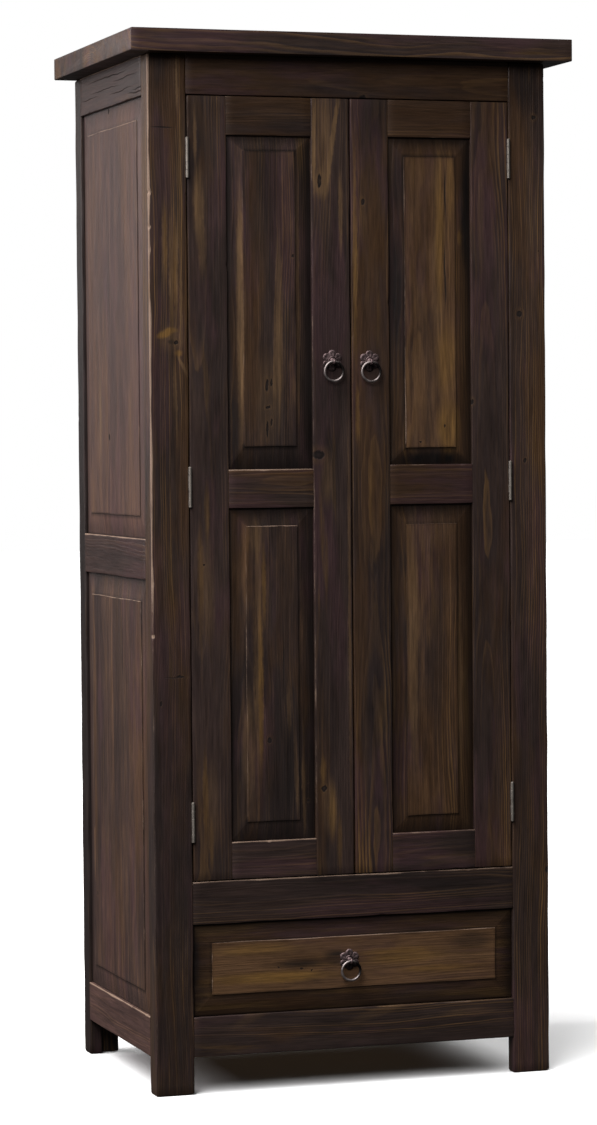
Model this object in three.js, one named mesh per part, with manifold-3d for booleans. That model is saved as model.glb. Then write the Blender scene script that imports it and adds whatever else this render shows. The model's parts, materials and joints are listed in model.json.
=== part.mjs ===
// Two-door armoire over one drawer, in stained pine. The carcass has four glued-up corner
// posts, rails, raised side panels, a boarded back and a top board. It carries two
// panelled doors on butt hinges, a drawer on runners, a clothes rod and ring pulls.
// Millimetres, +Z up, front towards -Y. The origin is on the floor, under the middle of
// the top board.
import * as THREE from 'three';
import { mergeVertices } from 'three/addons/utils/BufferGeometryUtils.js';
import { ConvexGeometry } from 'three/addons/geometries/ConvexGeometry.js';
import Module from 'manifold-3d';

const wasm = await Module();
wasm.setup();

// ---------------------------------------------------------------- driving dimensions
const HEIGHT = 1980;
const BODY_WIDTH = 788;
const BODY_DEPTH = 531;
const TOP_THICKNESS = 41.5;
const TOP_OVERHANG = 42; // past the front and both sides; flush at the back
const TOP_EASE = 3; // chamfer round the top board's edges
const GAP = 0.3; // clearance between pieces that touch

const POST_WIDTH = 74; // a front post, seen from the front
const FRONT_POST_DEPTH = 43; // a front post, seen from the side
const REAR_POST_DEPTH = 43;
const REAR_POST_WIDTH = 63;
const FACE_THICKNESS = 28; // front frame and the rear posts' back boards, front to back
const SIDE_THICKNESS = 24; // side frames, outside to inside
const FOOT_EASE = 6; // chamfer round the bottom of each leg

const RAIL_BOTTOM = 70; // heights above the floor
const DRAWER_SILL = 145;
const DRAWER_HEAD = 319;
const DOOR_SILL = 399;
const DOOR_HEAD = 1864;
const SIDE_MIDDLE = [964, 1040];

const STILE = 75; // width of every door stile
const DOOR_THICKNESS = 22;
const DOOR_GAP = 2; // round each door
const MEETING_GAP = 3; // between the two doors
// Rail edges differ by a few millimetres from door to door, as the doors were made by hand.
// Each panel has its bevel widths [at its lower edge, at its upper edge].
const DOORS = [
  {
    name: 'left', side: -1, bottomRailTop: 471, middleRail: [1096, 1168], topRailBottom: 1790,
    lowerBevel: [36, 34], upperBevel: [43, 28], hinges: [511, 1136, 1747], pullX: 38, pullZ: 1371,
  },
  {
    name: 'right', side: 1, bottomRailTop: 474, middleRail: [1099, 1174], topRailBottom: 1792,
    lowerBevel: [32, 38], upperBevel: [32, 36], hinges: [525, 1141, 1755], pullX: 36, pullZ: 1370,
  },
];
const DOOR_BEVEL = 32; // bevel width at a door panel's upright edges
const SIDE_BEVEL = 42;

const FIELD_DEPTH = 2; // a panel's raised field, below the frame's face
const FIELD_STEP = 1.5; // square step round the field
const BEVEL_DEPTH = 7; // outer edge of the bevel, below the frame's face
const PANEL_BACK = 13;
const TONGUE = 8; // how far a panel runs into the grooves round it
const TENON = { length: 24, shoulder: 12, front: 9, back: 17 };

const DRAWER = {
  width: 634, sideHeight: 153, sideThickness: 13, length: 480, frontBack: 22, bottomThickness: 6,
  bevel: 34, groove: 5, bottomLift: 10, pullX: -12.5, pullZ: 238,
};
const RUNNER = { ledgeReach: 302, guideReach: 318.3, ledgeHeight: 20, guideHeight: 30, lift: 1.7 };
const FLOOR_THICKNESS = 18;

const BACK = { thickness: 12, lap: 12, boards: 7, grooveWidth: 3, grooveDepth: 2 };
const BATTEN_THICKNESS = 12;
const BATTENS = [[RAIL_BOTTOM, 130], [350, DOOR_SILL - FLOOR_THICKNESS - GAP], [1878, 1938]];

const ROD = { radius: 14, z: 1898, flangeRadius: 26, flangeThickness: 5 };

const HINGE = { // a 3 inch butt hinge
  length: 74.6, knuckles: 5, barrel: 3.2, bore: 1.9, pin: 1.5, headRadius: 2.4, headHeight: 1,
  leafThickness: 2, leafReach: 18, axisOut: 3.2, relief: 0.4,
};

const PULL = {
  petals: 6, petalReach: 12.2, petalRadius: 7.8, petalHeight: 4, domeRadius: 6.5, domeHeight: 7,
  eyeOut: 11, eyeDrop: 2, eyeRadius: 5.4, eyeHole: 3.1, eyeThickness: 4,
  neckTop: 3, neckBottom: 5, neckFront: 4, // the web that carries the eye
  shankRadius: 2.5, shankLength: 22, ringRadius: 18.2, wireRadius: 2.5,
};

// ---------------------------------------------------------------- derived planes
const HALF = BODY_WIDTH / 2;
const REAR = BODY_DEPTH / 2 + TOP_OVERHANG / 2;
const FACE = REAR - BODY_DEPTH; // front face of the front frame
const BODY_TOP = HEIGHT - TOP_THICKNESS;
const OPENING = HALF - POST_WIDTH; // half width of the door and drawer openings
const SIDE_INNER = HALF - SIDE_THICKNESS;
const REAR_INNER = HALF - REAR_POST_WIDTH;
const REAR_BOARD_FRONT = REAR - FACE_THICKNESS;
const SIDE_OPENING = [FACE + FRONT_POST_DEPTH, REAR - REAR_POST_DEPTH];
const FRONT_OPENING = [-OPENING, OPENING];
const HINGE_X = OPENING - DOOR_GAP / 2;
const DOOR_EDGE = OPENING - DOOR_GAP;

const root = new THREE.Group();

// ---------------------------------------------------------------- materials
const FINISHES = {
  frame: { color: 0x3d302c, roughness: 0.5, metalness: 0 },
  panel: { color: 0x584128, roughness: 0.5, metalness: 0 },
  inside: { color: 0x8a6a48, roughness: 0.75, metalness: 0 },
  steel: { color: 0x9a948c, roughness: 0.4, metalness: 0.9 },
  bronze: { color: 0x4a403b, roughness: 0.45, metalness: 0.8 },
};

// ---------------------------------------------------------------- solids
function solidOf(geometry) {
  const bare = geometry.clone();
  bare.deleteAttribute('normal');
  bare.deleteAttribute('uv');
  const merged = mergeVertices(bare, 1e-4);
  const vertProperties = new Float32Array(merged.attributes.position.array);
  const triVerts = new Uint32Array(merged.index.array);
  return new wasm.Manifold(new wasm.Mesh({ numProp: 3, vertProperties, triVerts }));
}

function join(...solids) {
  return solids.reduce((whole, solid) => whole.add(solid));
}

function cut(whole, ...tools) {
  return tools.reduce((rest, tool) => rest.subtract(tool), whole);
}

function box(x, y, z) {
  const geometry = new THREE.BoxGeometry(x[1] - x[0], y[1] - y[0], z[1] - z[0]);
  geometry.translate((x[0] + x[1]) / 2, (y[0] + y[1]) / 2, (z[0] + z[1]) / 2);
  return solidOf(geometry);
}

function hull(points) {
  return solidOf(new ConvexGeometry(points.map((point) => new THREE.Vector3(...point))));
}

// Four corners at height z, drawn in from the x and y ranges by inset.
function corners(x, y, z, inset) {
  const [left, right] = [x[0] + inset, x[1] - inset];
  const [front, back] = [y[0] + inset, y[1] - inset];
  return [[left, front, z], [right, front, z], [right, back, z], [left, back, z]];
}

function legBoard(x, y, top) {
  return hull([
    ...corners(x, y, 0, FOOT_EASE), ...corners(x, y, FOOT_EASE, 0), ...corners(x, y, top, 0),
  ]);
}

// A cylinder along X, Y or Z between two positions on that axis. The centre gives the
// other two coordinates in order.
function cylinder(axis, centre, range, radius, segments = 16) {
  const geometry = new THREE.CylinderGeometry(radius, radius, range[1] - range[0], segments);
  const middle = (range[0] + range[1]) / 2;
  if (axis === 'x') {
    geometry.rotateZ(Math.PI / 2);
    geometry.translate(middle, centre[0], centre[1]);
  } else if (axis === 'y') {
    geometry.translate(centre[0], middle, centre[1]);
  } else {
    geometry.rotateX(Math.PI / 2);
    geometry.translate(centre[0], centre[1], middle);
  }
  return solidOf(geometry);
}

function ellipsoid(centre, radii, around = 12, down = 8) {
  const geometry = new THREE.SphereGeometry(1, around, down);
  geometry.scale(...radii);
  geometry.translate(...centre);
  return solidOf(geometry);
}

// A range measured outwards from the middle plane, on the left (-1) or right (+1) side.
function span(side, near, far) {
  return side > 0 ? [near, far] : [-far, -near];
}

function add(name, solid, finish) {
  const mesh = solid.getMesh();
  const geometry = new THREE.BufferGeometry();
  geometry.setAttribute('position', new THREE.BufferAttribute(new Float32Array(mesh.vertProperties), 3));
  geometry.setIndex(new THREE.BufferAttribute(new Uint32Array(mesh.triVerts), 1));
  geometry.computeVertexNormals();
  const part = new THREE.Mesh(geometry, new THREE.MeshStandardMaterial(FINISHES[finish]));
  part.name = name;
  root.add(part);
}

// ---------------------------------------------------------------- frame and panel work
// A frame's own coordinates are u across, v up and w inwards from its outer face.
const frontPlace = (u, v, w) => [u, FACE + w, v];
const sidePlace = (side) => (u, v, w) => [side * (HALF - w), u, v];

function block(place, u, v, w) {
  const a = place(u[0], v[0], w[0]);
  const b = place(u[1], v[1], w[1]);
  const ranges = a.map((value, i) => [Math.min(value, b[i]), Math.max(value, b[i])]);
  return box(...ranges);
}

function tenon(place, u, v, slack) {
  const reach = TENON.length + slack;
  return block(
    place,
    [u[0] - reach, u[1] + reach],
    [v[0] + TENON.shoulder - slack, v[1] - TENON.shoulder + slack],
    [TENON.front - slack, TENON.back + slack],
  );
}

function rail(place, u, v, thickness) {
  return join(block(place, [u[0] + GAP, u[1] - GAP], v, [0, thickness]), tenon(place, u, v, 0));
}

// The space that a panel and its tongue take up in the frame round an opening.
function panelGroove(place, u, v) {
  const reach = TONGUE + 1;
  return block(
    place,
    [u[0] - reach, u[1] + reach],
    [v[0] - reach, v[1] + reach],
    [BEVEL_DEPTH - GAP, PANEL_BACK + GAP],
  );
}

function raisedPanel(place, u, v, sideBevel, lowerBevel, upperBevel) {
  const ring = (across, below, above, w) => [
    place(u[0] + across, v[0] + below, w),
    place(u[1] - across, v[0] + below, w),
    place(u[1] - across, v[1] - above, w),
    place(u[0] + across, v[1] - above, w),
  ];
  const tongue = hull([
    ...ring(-TONGUE, -TONGUE, -TONGUE, BEVEL_DEPTH), ...ring(-TONGUE, -TONGUE, -TONGUE, PANEL_BACK),
  ]);
  const bevel = hull([
    ...ring(GAP, GAP, GAP, BEVEL_DEPTH + 1),
    ...ring(GAP, GAP, GAP, BEVEL_DEPTH),
    ...ring(sideBevel, lowerBevel, upperBevel, FIELD_DEPTH + FIELD_STEP),
  ]);
  const field = hull([
    ...ring(sideBevel, lowerBevel, upperBevel, PANEL_BACK),
    ...ring(sideBevel, lowerBevel, upperBevel, FIELD_DEPTH),
  ]);
  return join(tongue, bevel, field);
}

// ---------------------------------------------------------------- ring pulls
function pullEye(x, z, y) {
  return { x, y: y - PULL.eyeOut, z: z - PULL.eyeDrop };
}

// The shank's hole through the wood behind a pull.
function shankHole(x, z, y) {
  return cylinder('y', [x, z], [y - 5, y + 40], PULL.shankRadius + GAP, 12);
}

function addPull(name, x, z, y) {
  const eye = pullEye(x, z, y);
  const petals = [];
  for (let i = 0; i < PULL.petals; i += 1) {
    const angle = Math.PI / 2 + (i * 2 * Math.PI) / PULL.petals;
    const centre = [x + PULL.petalReach * Math.cos(angle), y, z + PULL.petalReach * Math.sin(angle)];
    petals.push(ellipsoid(centre, [PULL.petalRadius, PULL.petalHeight, PULL.petalRadius]));
  }
  const dome = ellipsoid([x, y, z], [PULL.domeRadius, PULL.domeHeight, PULL.domeRadius]);
  const half = PULL.eyeThickness / 2;
  const eyeDisc = cylinder('x', [eye.y, eye.z], [x - half, x + half], PULL.eyeRadius);
  const eyeWidth = [x - half, x + half];
  const neck = hull([
    ...corners(eyeWidth, [y - 2, y - 1], z + PULL.neckTop, 0),
    ...corners(eyeWidth, [y - 2, y - 1], z - PULL.neckBottom, 0),
    ...corners(eyeWidth, [eye.y + 1, eye.y + 2], eye.z + PULL.neckFront, 0),
  ]);
  const eyeHole = cylinder('x', [eye.y, eye.z], [x - 10, x + 10], PULL.eyeHole, 12);
  const behind = box([x - 40, x + 40], [y - GAP, y + 20], [z - 40, z + 40]);
  const shank = cylinder('y', [x, z], [y - 1, y + PULL.shankLength], PULL.shankRadius, 12);
  const front = cut(join(...petals, dome, neck, eyeDisc), behind, eyeHole);
  add(`${name}_pull_rosette`, join(front, shank), 'bronze');

  const ring = new THREE.TorusGeometry(PULL.ringRadius, PULL.wireRadius, 10, 36);
  ring.rotateX(Math.PI / 2);
  ring.translate(eye.x, eye.y, eye.z - PULL.ringRadius);
  add(`${name}_pull_ring`, solidOf(ring), 'bronze');
}

// ---------------------------------------------------------------- hinges
// Recess for both leaves of a hinge, cut into the post's edge and the door's edge.
function hingeRecess(side, z) {
  const half = HINGE.length / 2 + GAP;
  const thickness = HINGE.leafThickness + GAP;
  return box(
    span(side, DOOR_EDGE - thickness, OPENING + thickness),
    [FACE - 1, FACE + HINGE.leafReach + GAP],
    [z - half, z + half],
  );
}

function addHinge(doorName, level, side, z) {
  const low = z - HINGE.length / 2;
  const step = HINGE.length / HINGE.knuckles;
  const centre = [side * HINGE_X, FACE - HINGE.axisOut];
  const leafY = [FACE - HINGE.axisOut + HINGE.bore + 0.2, FACE + HINGE.leafReach];
  const leafZ = [low, low + HINGE.length];
  const frame = [box(span(side, OPENING, OPENING + HINGE.leafThickness), leafY, leafZ)];
  const door = [box(span(side, DOOR_EDGE - HINGE.leafThickness, DOOR_EDGE), leafY, leafZ)];
  const frameReliefs = [];
  const doorReliefs = [];
  for (let i = 0; i < HINGE.knuckles; i += 1) {
    const range = [low + i * step + GAP / 2, low + (i + 1) * step - GAP / 2];
    const knuckle = cylinder('z', centre, range, HINGE.barrel);
    const relief = box(
      [centre[0] - 10, centre[0] + 10],
      [centre[1] - 10, FACE + HINGE.relief],
      [range[0] - GAP, range[1] + GAP],
    );
    if (i % 2 === 0) {
      frame.push(knuckle);
      doorReliefs.push(relief);
    } else {
      door.push(knuckle);
      frameReliefs.push(relief);
    }
  }
  const pin = cylinder('z', centre, leafZ, HINGE.pin, 12);
  const headRadii = [HINGE.headRadius, HINGE.headRadius, HINGE.headHeight];
  const heads = leafZ.map((headZ) => ellipsoid([...centre, headZ], headRadii, 12, 6));
  const bore = cylinder('z', centre, [low - 5, low + HINGE.length + 5], HINGE.bore, 12);
  const frameLeaf = cut(frame[0], ...frameReliefs);
  const doorLeaf = cut(door[0], ...doorReliefs);
  add(`${doorName}_${level}_hinge_frame_leaf`, join(frameLeaf, ...frame.slice(1), pin, ...heads), 'steel');
  add(`${doorName}_${level}_hinge_door_leaf`, cut(join(doorLeaf, ...door.slice(1)), bore), 'steel');
}

// ---------------------------------------------------------------- carcass
const RAIL_TOP = BODY_TOP - GAP;
const FRONT_RAILS = {
  lower: [RAIL_BOTTOM, DRAWER_SILL],
  middle: [DRAWER_HEAD, DOOR_SILL],
  upper: [DOOR_HEAD, RAIL_TOP],
};
const SIDE_RAILS = {
  lower: [RAIL_BOTTOM, DRAWER_SILL],
  middle: SIDE_MIDDLE,
  upper: [DOOR_HEAD, RAIL_TOP],
};
const SIDE_PANELS = {
  lower: [DRAWER_SILL, SIDE_MIDDLE[0]],
  upper: [SIDE_MIDDLE[1], DOOR_HEAD],
};

function addTopBoard() {
  const x = [-HALF - TOP_OVERHANG, HALF + TOP_OVERHANG];
  const y = [FACE - TOP_OVERHANG, REAR];
  add('top_board', hull([
    ...corners(x, y, BODY_TOP, TOP_EASE),
    ...corners(x, y, BODY_TOP + TOP_EASE, 0),
    ...corners(x, y, HEIGHT - TOP_EASE, 0),
    ...corners(x, y, HEIGHT, TOP_EASE),
  ]), 'frame');
}

function addFrontRails() {
  for (const [name, height] of Object.entries(FRONT_RAILS)) {
    add(`${name}_front_rail`, rail(frontPlace, FRONT_OPENING, height, FACE_THICKNESS), 'frame');
  }
}

// One side frame with its two panels and the front and rear posts at its ends. The posts
// are L-shaped, glued up from a side board and a board that faces front or back.
function addSide(door) {
  const { name, side } = door;
  const place = sidePlace(side);
  const grooves = Object.values(SIDE_PANELS).map((height) => panelGroove(place, SIDE_OPENING, height));
  const sideMortises = Object.values(SIDE_RAILS).map((height) => tenon(place, SIDE_OPENING, height, GAP));
  const frontMortises = Object.values(FRONT_RAILS).map((height) => (
    tenon(frontPlace, FRONT_OPENING, height, GAP)
  ));
  const recesses = door.hinges.map((z) => hingeRecess(side, z));

  const frontPost = join(
    legBoard(span(side, OPENING, HALF), [FACE, FACE + FACE_THICKNESS], RAIL_TOP),
    legBoard(span(side, SIDE_INNER, HALF), [FACE, FACE + FRONT_POST_DEPTH], RAIL_TOP),
  );
  const frontCuts = [...grooves, ...sideMortises, ...frontMortises, ...recesses];
  add(`${name}_front_post`, cut(frontPost, ...frontCuts), 'frame');

  const rearPost = join(
    legBoard(span(side, REAR_INNER, HALF), [REAR_BOARD_FRONT, REAR], RAIL_TOP),
    legBoard(span(side, SIDE_INNER, HALF), [REAR - REAR_POST_DEPTH, REAR], RAIL_TOP),
  );
  const backRebate = box(
    span(side, 0, REAR_INNER + BACK.lap + GAP),
    [REAR - BACK.thickness - GAP, REAR + 1],
    [RAIL_BOTTOM - GAP, HEIGHT],
  );
  add(`${name}_rear_post`, cut(rearPost, ...grooves, ...sideMortises, backRebate), 'frame');

  for (const [level, height] of Object.entries(SIDE_RAILS)) {
    const solid = cut(rail(place, SIDE_OPENING, height, SIDE_THICKNESS), ...grooves);
    add(`${name}_side_${level}_rail`, solid, 'frame');
  }
  for (const [level, height] of Object.entries(SIDE_PANELS)) {
    const solid = raisedPanel(place, SIDE_OPENING, height, SIDE_BEVEL, SIDE_BEVEL, SIDE_BEVEL);
    add(`${name}_side_${level}_panel`, solid, 'panel');
  }
}

// Upright tongue-and-groove boards, nailed to three battens inside.
function addBack() {
  const half = REAR_INNER + BACK.lap;
  const sheetY = [REAR - BACK.thickness, REAR];
  const sheet = box([-half, half], sheetY, [RAIL_BOTTOM, RAIL_TOP]);
  const battenReach = REAR_INNER - GAP;
  const battenY = [sheetY[0] - BATTEN_THICKNESS, sheetY[0] + 1];
  const battens = BATTENS.map((height) => box([-battenReach, battenReach], battenY, height));
  const joints = [];
  const boardWidth = (2 * half) / BACK.boards;
  for (let i = 1; i < BACK.boards; i += 1) {
    const x = -half + i * boardWidth;
    const width = [x - BACK.grooveWidth / 2, x + BACK.grooveWidth / 2];
    joints.push(box(width, [REAR - BACK.grooveDepth, REAR + 1], [0, HEIGHT]));
  }
  add('back_panel', cut(join(sheet, ...battens), ...joints), 'inside');
}

function addCabinetFloor() {
  const z = [DOOR_SILL - FLOOR_THICKNESS, DOOR_SILL];
  const reach = SIDE_INNER - GAP;
  const rearReach = REAR_INNER - GAP;
  const front = FACE + FACE_THICKNESS + GAP;
  add('cabinet_floor', join(
    box([-reach, reach], [front, REAR_BOARD_FRONT - GAP], z),
    box([-rearReach, rearReach], [front, REAR - BACK.thickness - GAP], z),
  ), 'inside');
}

function addHangingRod() {
  const centre = [(FACE + REAR) / 2, ROD.z];
  const reach = SIDE_INNER - GAP;
  const flanges = [-1, 1].map((side) => (
    cylinder('x', centre, span(side, reach - ROD.flangeThickness, reach), ROD.flangeRadius, 24)
  ));
  add('hanging_rod', join(cylinder('x', centre, [-reach, reach], ROD.radius, 20), ...flanges), 'steel');
}

// ---------------------------------------------------------------- doors
function addDoor(door) {
  const { name, side } = door;
  const height = [DOOR_SILL + DOOR_GAP, DOOR_HEAD - DOOR_GAP];
  const meetingEdge = MEETING_GAP / 2;
  const opening = span(side, meetingEdge + STILE, DOOR_EDGE - STILE);
  const thickness = [0, DOOR_THICKNESS];
  const rails = {
    bottom: [height[0], door.bottomRailTop],
    middle: door.middleRail,
    top: [door.topRailBottom, height[1]],
  };
  const panels = {
    lower: { height: [door.bottomRailTop, door.middleRail[0]], bevel: door.lowerBevel },
    upper: { height: [door.middleRail[1], door.topRailBottom], bevel: door.upperBevel },
  };
  const grooves = Object.values(panels).map((panel) => panelGroove(frontPlace, opening, panel.height));
  const mortises = Object.values(rails).map((range) => tenon(frontPlace, opening, range, GAP));
  const recesses = door.hinges.map((z) => hingeRecess(side, z));

  const hingeStile = block(frontPlace, span(side, DOOR_EDGE - STILE, DOOR_EDGE), height, thickness);
  add(`${name}_door_hinge_stile`, cut(hingeStile, ...grooves, ...mortises, ...recesses), 'frame');

  const meetingStile = block(frontPlace, span(side, meetingEdge, meetingEdge + STILE), height, thickness);
  const pullX = side * door.pullX;
  const hole = shankHole(pullX, door.pullZ, FACE);
  add(`${name}_door_meeting_stile`, cut(meetingStile, ...grooves, ...mortises, hole), 'frame');

  for (const [level, range] of Object.entries(rails)) {
    const solid = cut(rail(frontPlace, opening, range, DOOR_THICKNESS), ...grooves);
    add(`${name}_door_${level}_rail`, solid, 'frame');
  }
  for (const [level, panel] of Object.entries(panels)) {
    const solid = raisedPanel(frontPlace, opening, panel.height, DOOR_BEVEL, ...panel.bevel);
    add(`${name}_door_${level}_panel`, solid, 'panel');
  }
  ['bottom', 'middle', 'top'].forEach((level, i) => addHinge(name, level, side, door.hinges[i]));
  addPull(`${name}_door`, pullX, door.pullZ, FACE);
}

// ---------------------------------------------------------------- drawer
const DRAWER_BOX_SIDE = [DRAWER.width / 2 - DRAWER.sideThickness, DRAWER.width / 2];
const DRAWER_LOW = DRAWER_SILL + DOOR_GAP;
const DRAWER_BOX = [DRAWER_LOW, DRAWER_LOW + DRAWER.sideHeight];
const DRAWER_BOTTOM_Z = DRAWER_LOW + DRAWER.bottomLift;

// The drawer bottom with slack around it, which is the groove that it slides into.
function drawerBottom(slack) {
  const reach = DRAWER_BOX_SIDE[0] + DRAWER.groove + slack;
  return box(
    [-reach, reach],
    [FACE + DRAWER.frontBack - DRAWER.groove - slack, FACE + DRAWER.length - 1 + slack * 10],
    [DRAWER_BOTTOM_Z - slack, DRAWER_BOTTOM_Z + DRAWER.bottomThickness + slack],
  );
}

function addDrawer() {
  const groove = drawerBottom(GAP);
  const u = [-OPENING + DOOR_GAP, OPENING - DOOR_GAP];
  const v = [DRAWER_LOW, DRAWER_HEAD - DOOR_GAP];
  const ring = (inset, w) => (
    corners(u, v, w, inset).map(([across, up, depth]) => frontPlace(across, up, depth))
  );
  const bevelled = hull([
    ...ring(0, DRAWER.frontBack), ...ring(0, BEVEL_DEPTH), ...ring(DRAWER.bevel, FIELD_DEPTH + FIELD_STEP),
  ]);
  const field = hull([...ring(DRAWER.bevel, DRAWER.frontBack), ...ring(DRAWER.bevel, FIELD_DEPTH)]);
  const front = join(bevelled, field);
  const fieldFace = FACE + FIELD_DEPTH;
  add('drawer_front', cut(front, groove, shankHole(DRAWER.pullX, DRAWER.pullZ, fieldFace)), 'panel');

  const boxY = [FACE + DRAWER.frontBack + GAP, FACE + DRAWER.length];
  for (const door of DOORS) {
    const side = box(span(door.side, ...DRAWER_BOX_SIDE), boxY, DRAWER_BOX);
    add(`drawer_${door.name}_side`, cut(side, groove), 'inside');
  }
  const backReach = DRAWER_BOX_SIDE[0] - GAP;
  const backZ = [DRAWER_BOTTOM_Z + DRAWER.bottomThickness + GAP, DRAWER_BOX[1] - 6];
  const backY = [FACE + DRAWER.length - DRAWER.sideThickness, FACE + DRAWER.length];
  add('drawer_back', box([-backReach, backReach], backY, backZ), 'inside');
  add('drawer_bottom', drawerBottom(0), 'inside');
  addPull('drawer', DRAWER.pullX, DRAWER.pullZ, fieldFace);
}

// An L-shaped runner under each drawer side: a ledge to slide on and a guide beside it.
function addRunners() {
  const y = [FACE + FACE_THICKNESS + GAP, REAR_BOARD_FRONT - GAP];
  const ledgeTop = DRAWER_SILL + RUNNER.lift;
  for (const door of DOORS) {
    const ledgeX = span(door.side, RUNNER.ledgeReach, SIDE_INNER - GAP);
    const guideX = span(door.side, RUNNER.guideReach, SIDE_INNER - GAP);
    add(`${door.name}_drawer_runner`, join(
      box(ledgeX, y, [ledgeTop - RUNNER.ledgeHeight, ledgeTop]),
      box(guideX, y, [ledgeTop - 1, ledgeTop + RUNNER.guideHeight]),
    ), 'inside');
  }
}

addTopBoard();
addFrontRails();
DOORS.forEach(addSide);
addBack();
addCabinetFloor();
addHangingRod();
addRunners();
DOORS.forEach(addDoor);
addDrawer();

export default root;
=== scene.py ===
"""The finished look of a dark-stained pine armoire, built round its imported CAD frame.

Every wooden piece is lofted or ringed from its CAD node's box, with eased, worn arrises and
its own grain direction. One pine shader reads that grain. The hinges, ring pulls, rod,
screws, nuts, nails and catches are made as metal pieces. Metres, +Z up, front towards -Y.
"""
import json
import math

import bmesh
import bpy
import numpy as np
from mathutils import Matrix, Vector


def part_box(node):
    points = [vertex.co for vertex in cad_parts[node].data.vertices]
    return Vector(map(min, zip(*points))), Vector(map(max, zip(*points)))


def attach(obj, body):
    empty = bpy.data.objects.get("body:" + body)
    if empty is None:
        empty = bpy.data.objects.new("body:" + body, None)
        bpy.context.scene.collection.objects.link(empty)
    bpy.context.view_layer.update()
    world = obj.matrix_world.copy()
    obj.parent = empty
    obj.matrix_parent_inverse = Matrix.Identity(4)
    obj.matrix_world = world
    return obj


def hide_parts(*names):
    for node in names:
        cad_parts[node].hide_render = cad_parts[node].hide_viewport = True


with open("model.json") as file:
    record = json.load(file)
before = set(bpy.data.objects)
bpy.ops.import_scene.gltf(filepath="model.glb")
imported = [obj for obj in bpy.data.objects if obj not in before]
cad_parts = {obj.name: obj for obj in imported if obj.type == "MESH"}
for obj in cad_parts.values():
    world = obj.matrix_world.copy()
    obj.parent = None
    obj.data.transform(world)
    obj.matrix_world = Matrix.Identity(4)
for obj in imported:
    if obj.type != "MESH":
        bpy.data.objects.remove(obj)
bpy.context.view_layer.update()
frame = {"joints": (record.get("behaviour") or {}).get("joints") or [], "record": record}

MM = 0.001
X, Y, Z = 0, 1, 2
SIDES = (("left", -1), ("right", 1))


def mm(*points):
    """Points given in millimetres, as an array in metres."""
    return np.array(points) * MM


def box_of(node):
    """The lowest and highest corners of a CAD node, as arrays."""
    lo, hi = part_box(node)
    return np.array(lo), np.array(hi)


def cross_axes(along):
    """The two axes across a board that runs along the third."""
    return tuple(axis for axis in (X, Y, Z) if axis != along)


def circle(steps):
    """Angles evenly round a circle."""
    return np.linspace(0, 2 * math.pi, steps, endpoint=False)


# ------------------------------------------------------------------ planes of the frame
TENON = 24 * MM  # how far the CAD rails run into the posts and stiles
TONGUE = 8 * MM  # how far the CAD panels run into their grooves
FACE = box_of("left_front_post")[0][Y]  # front face of the front frame and the doors
HALF = box_of("right_front_post")[1][X]  # outer face of the side frames
FACE_THICKNESS = box_of("upper_front_rail")[1][Y] - FACE
SIDE_THICKNESS = HALF - box_of("right_side_upper_rail")[0][X]
OPENING = box_of("right_front_post")[0][X]  # half the width of the doorway

DOOR_THICKNESS = 22 * MM  # the drawer front's too

# A raised panel's depths below the frame's face
FIELD_DEPTH = 2 * MM
BEVEL_TOP = 3.5 * MM
BEVEL_FOOT = 7 * MM
PANEL_BACK = 13 * MM


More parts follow.
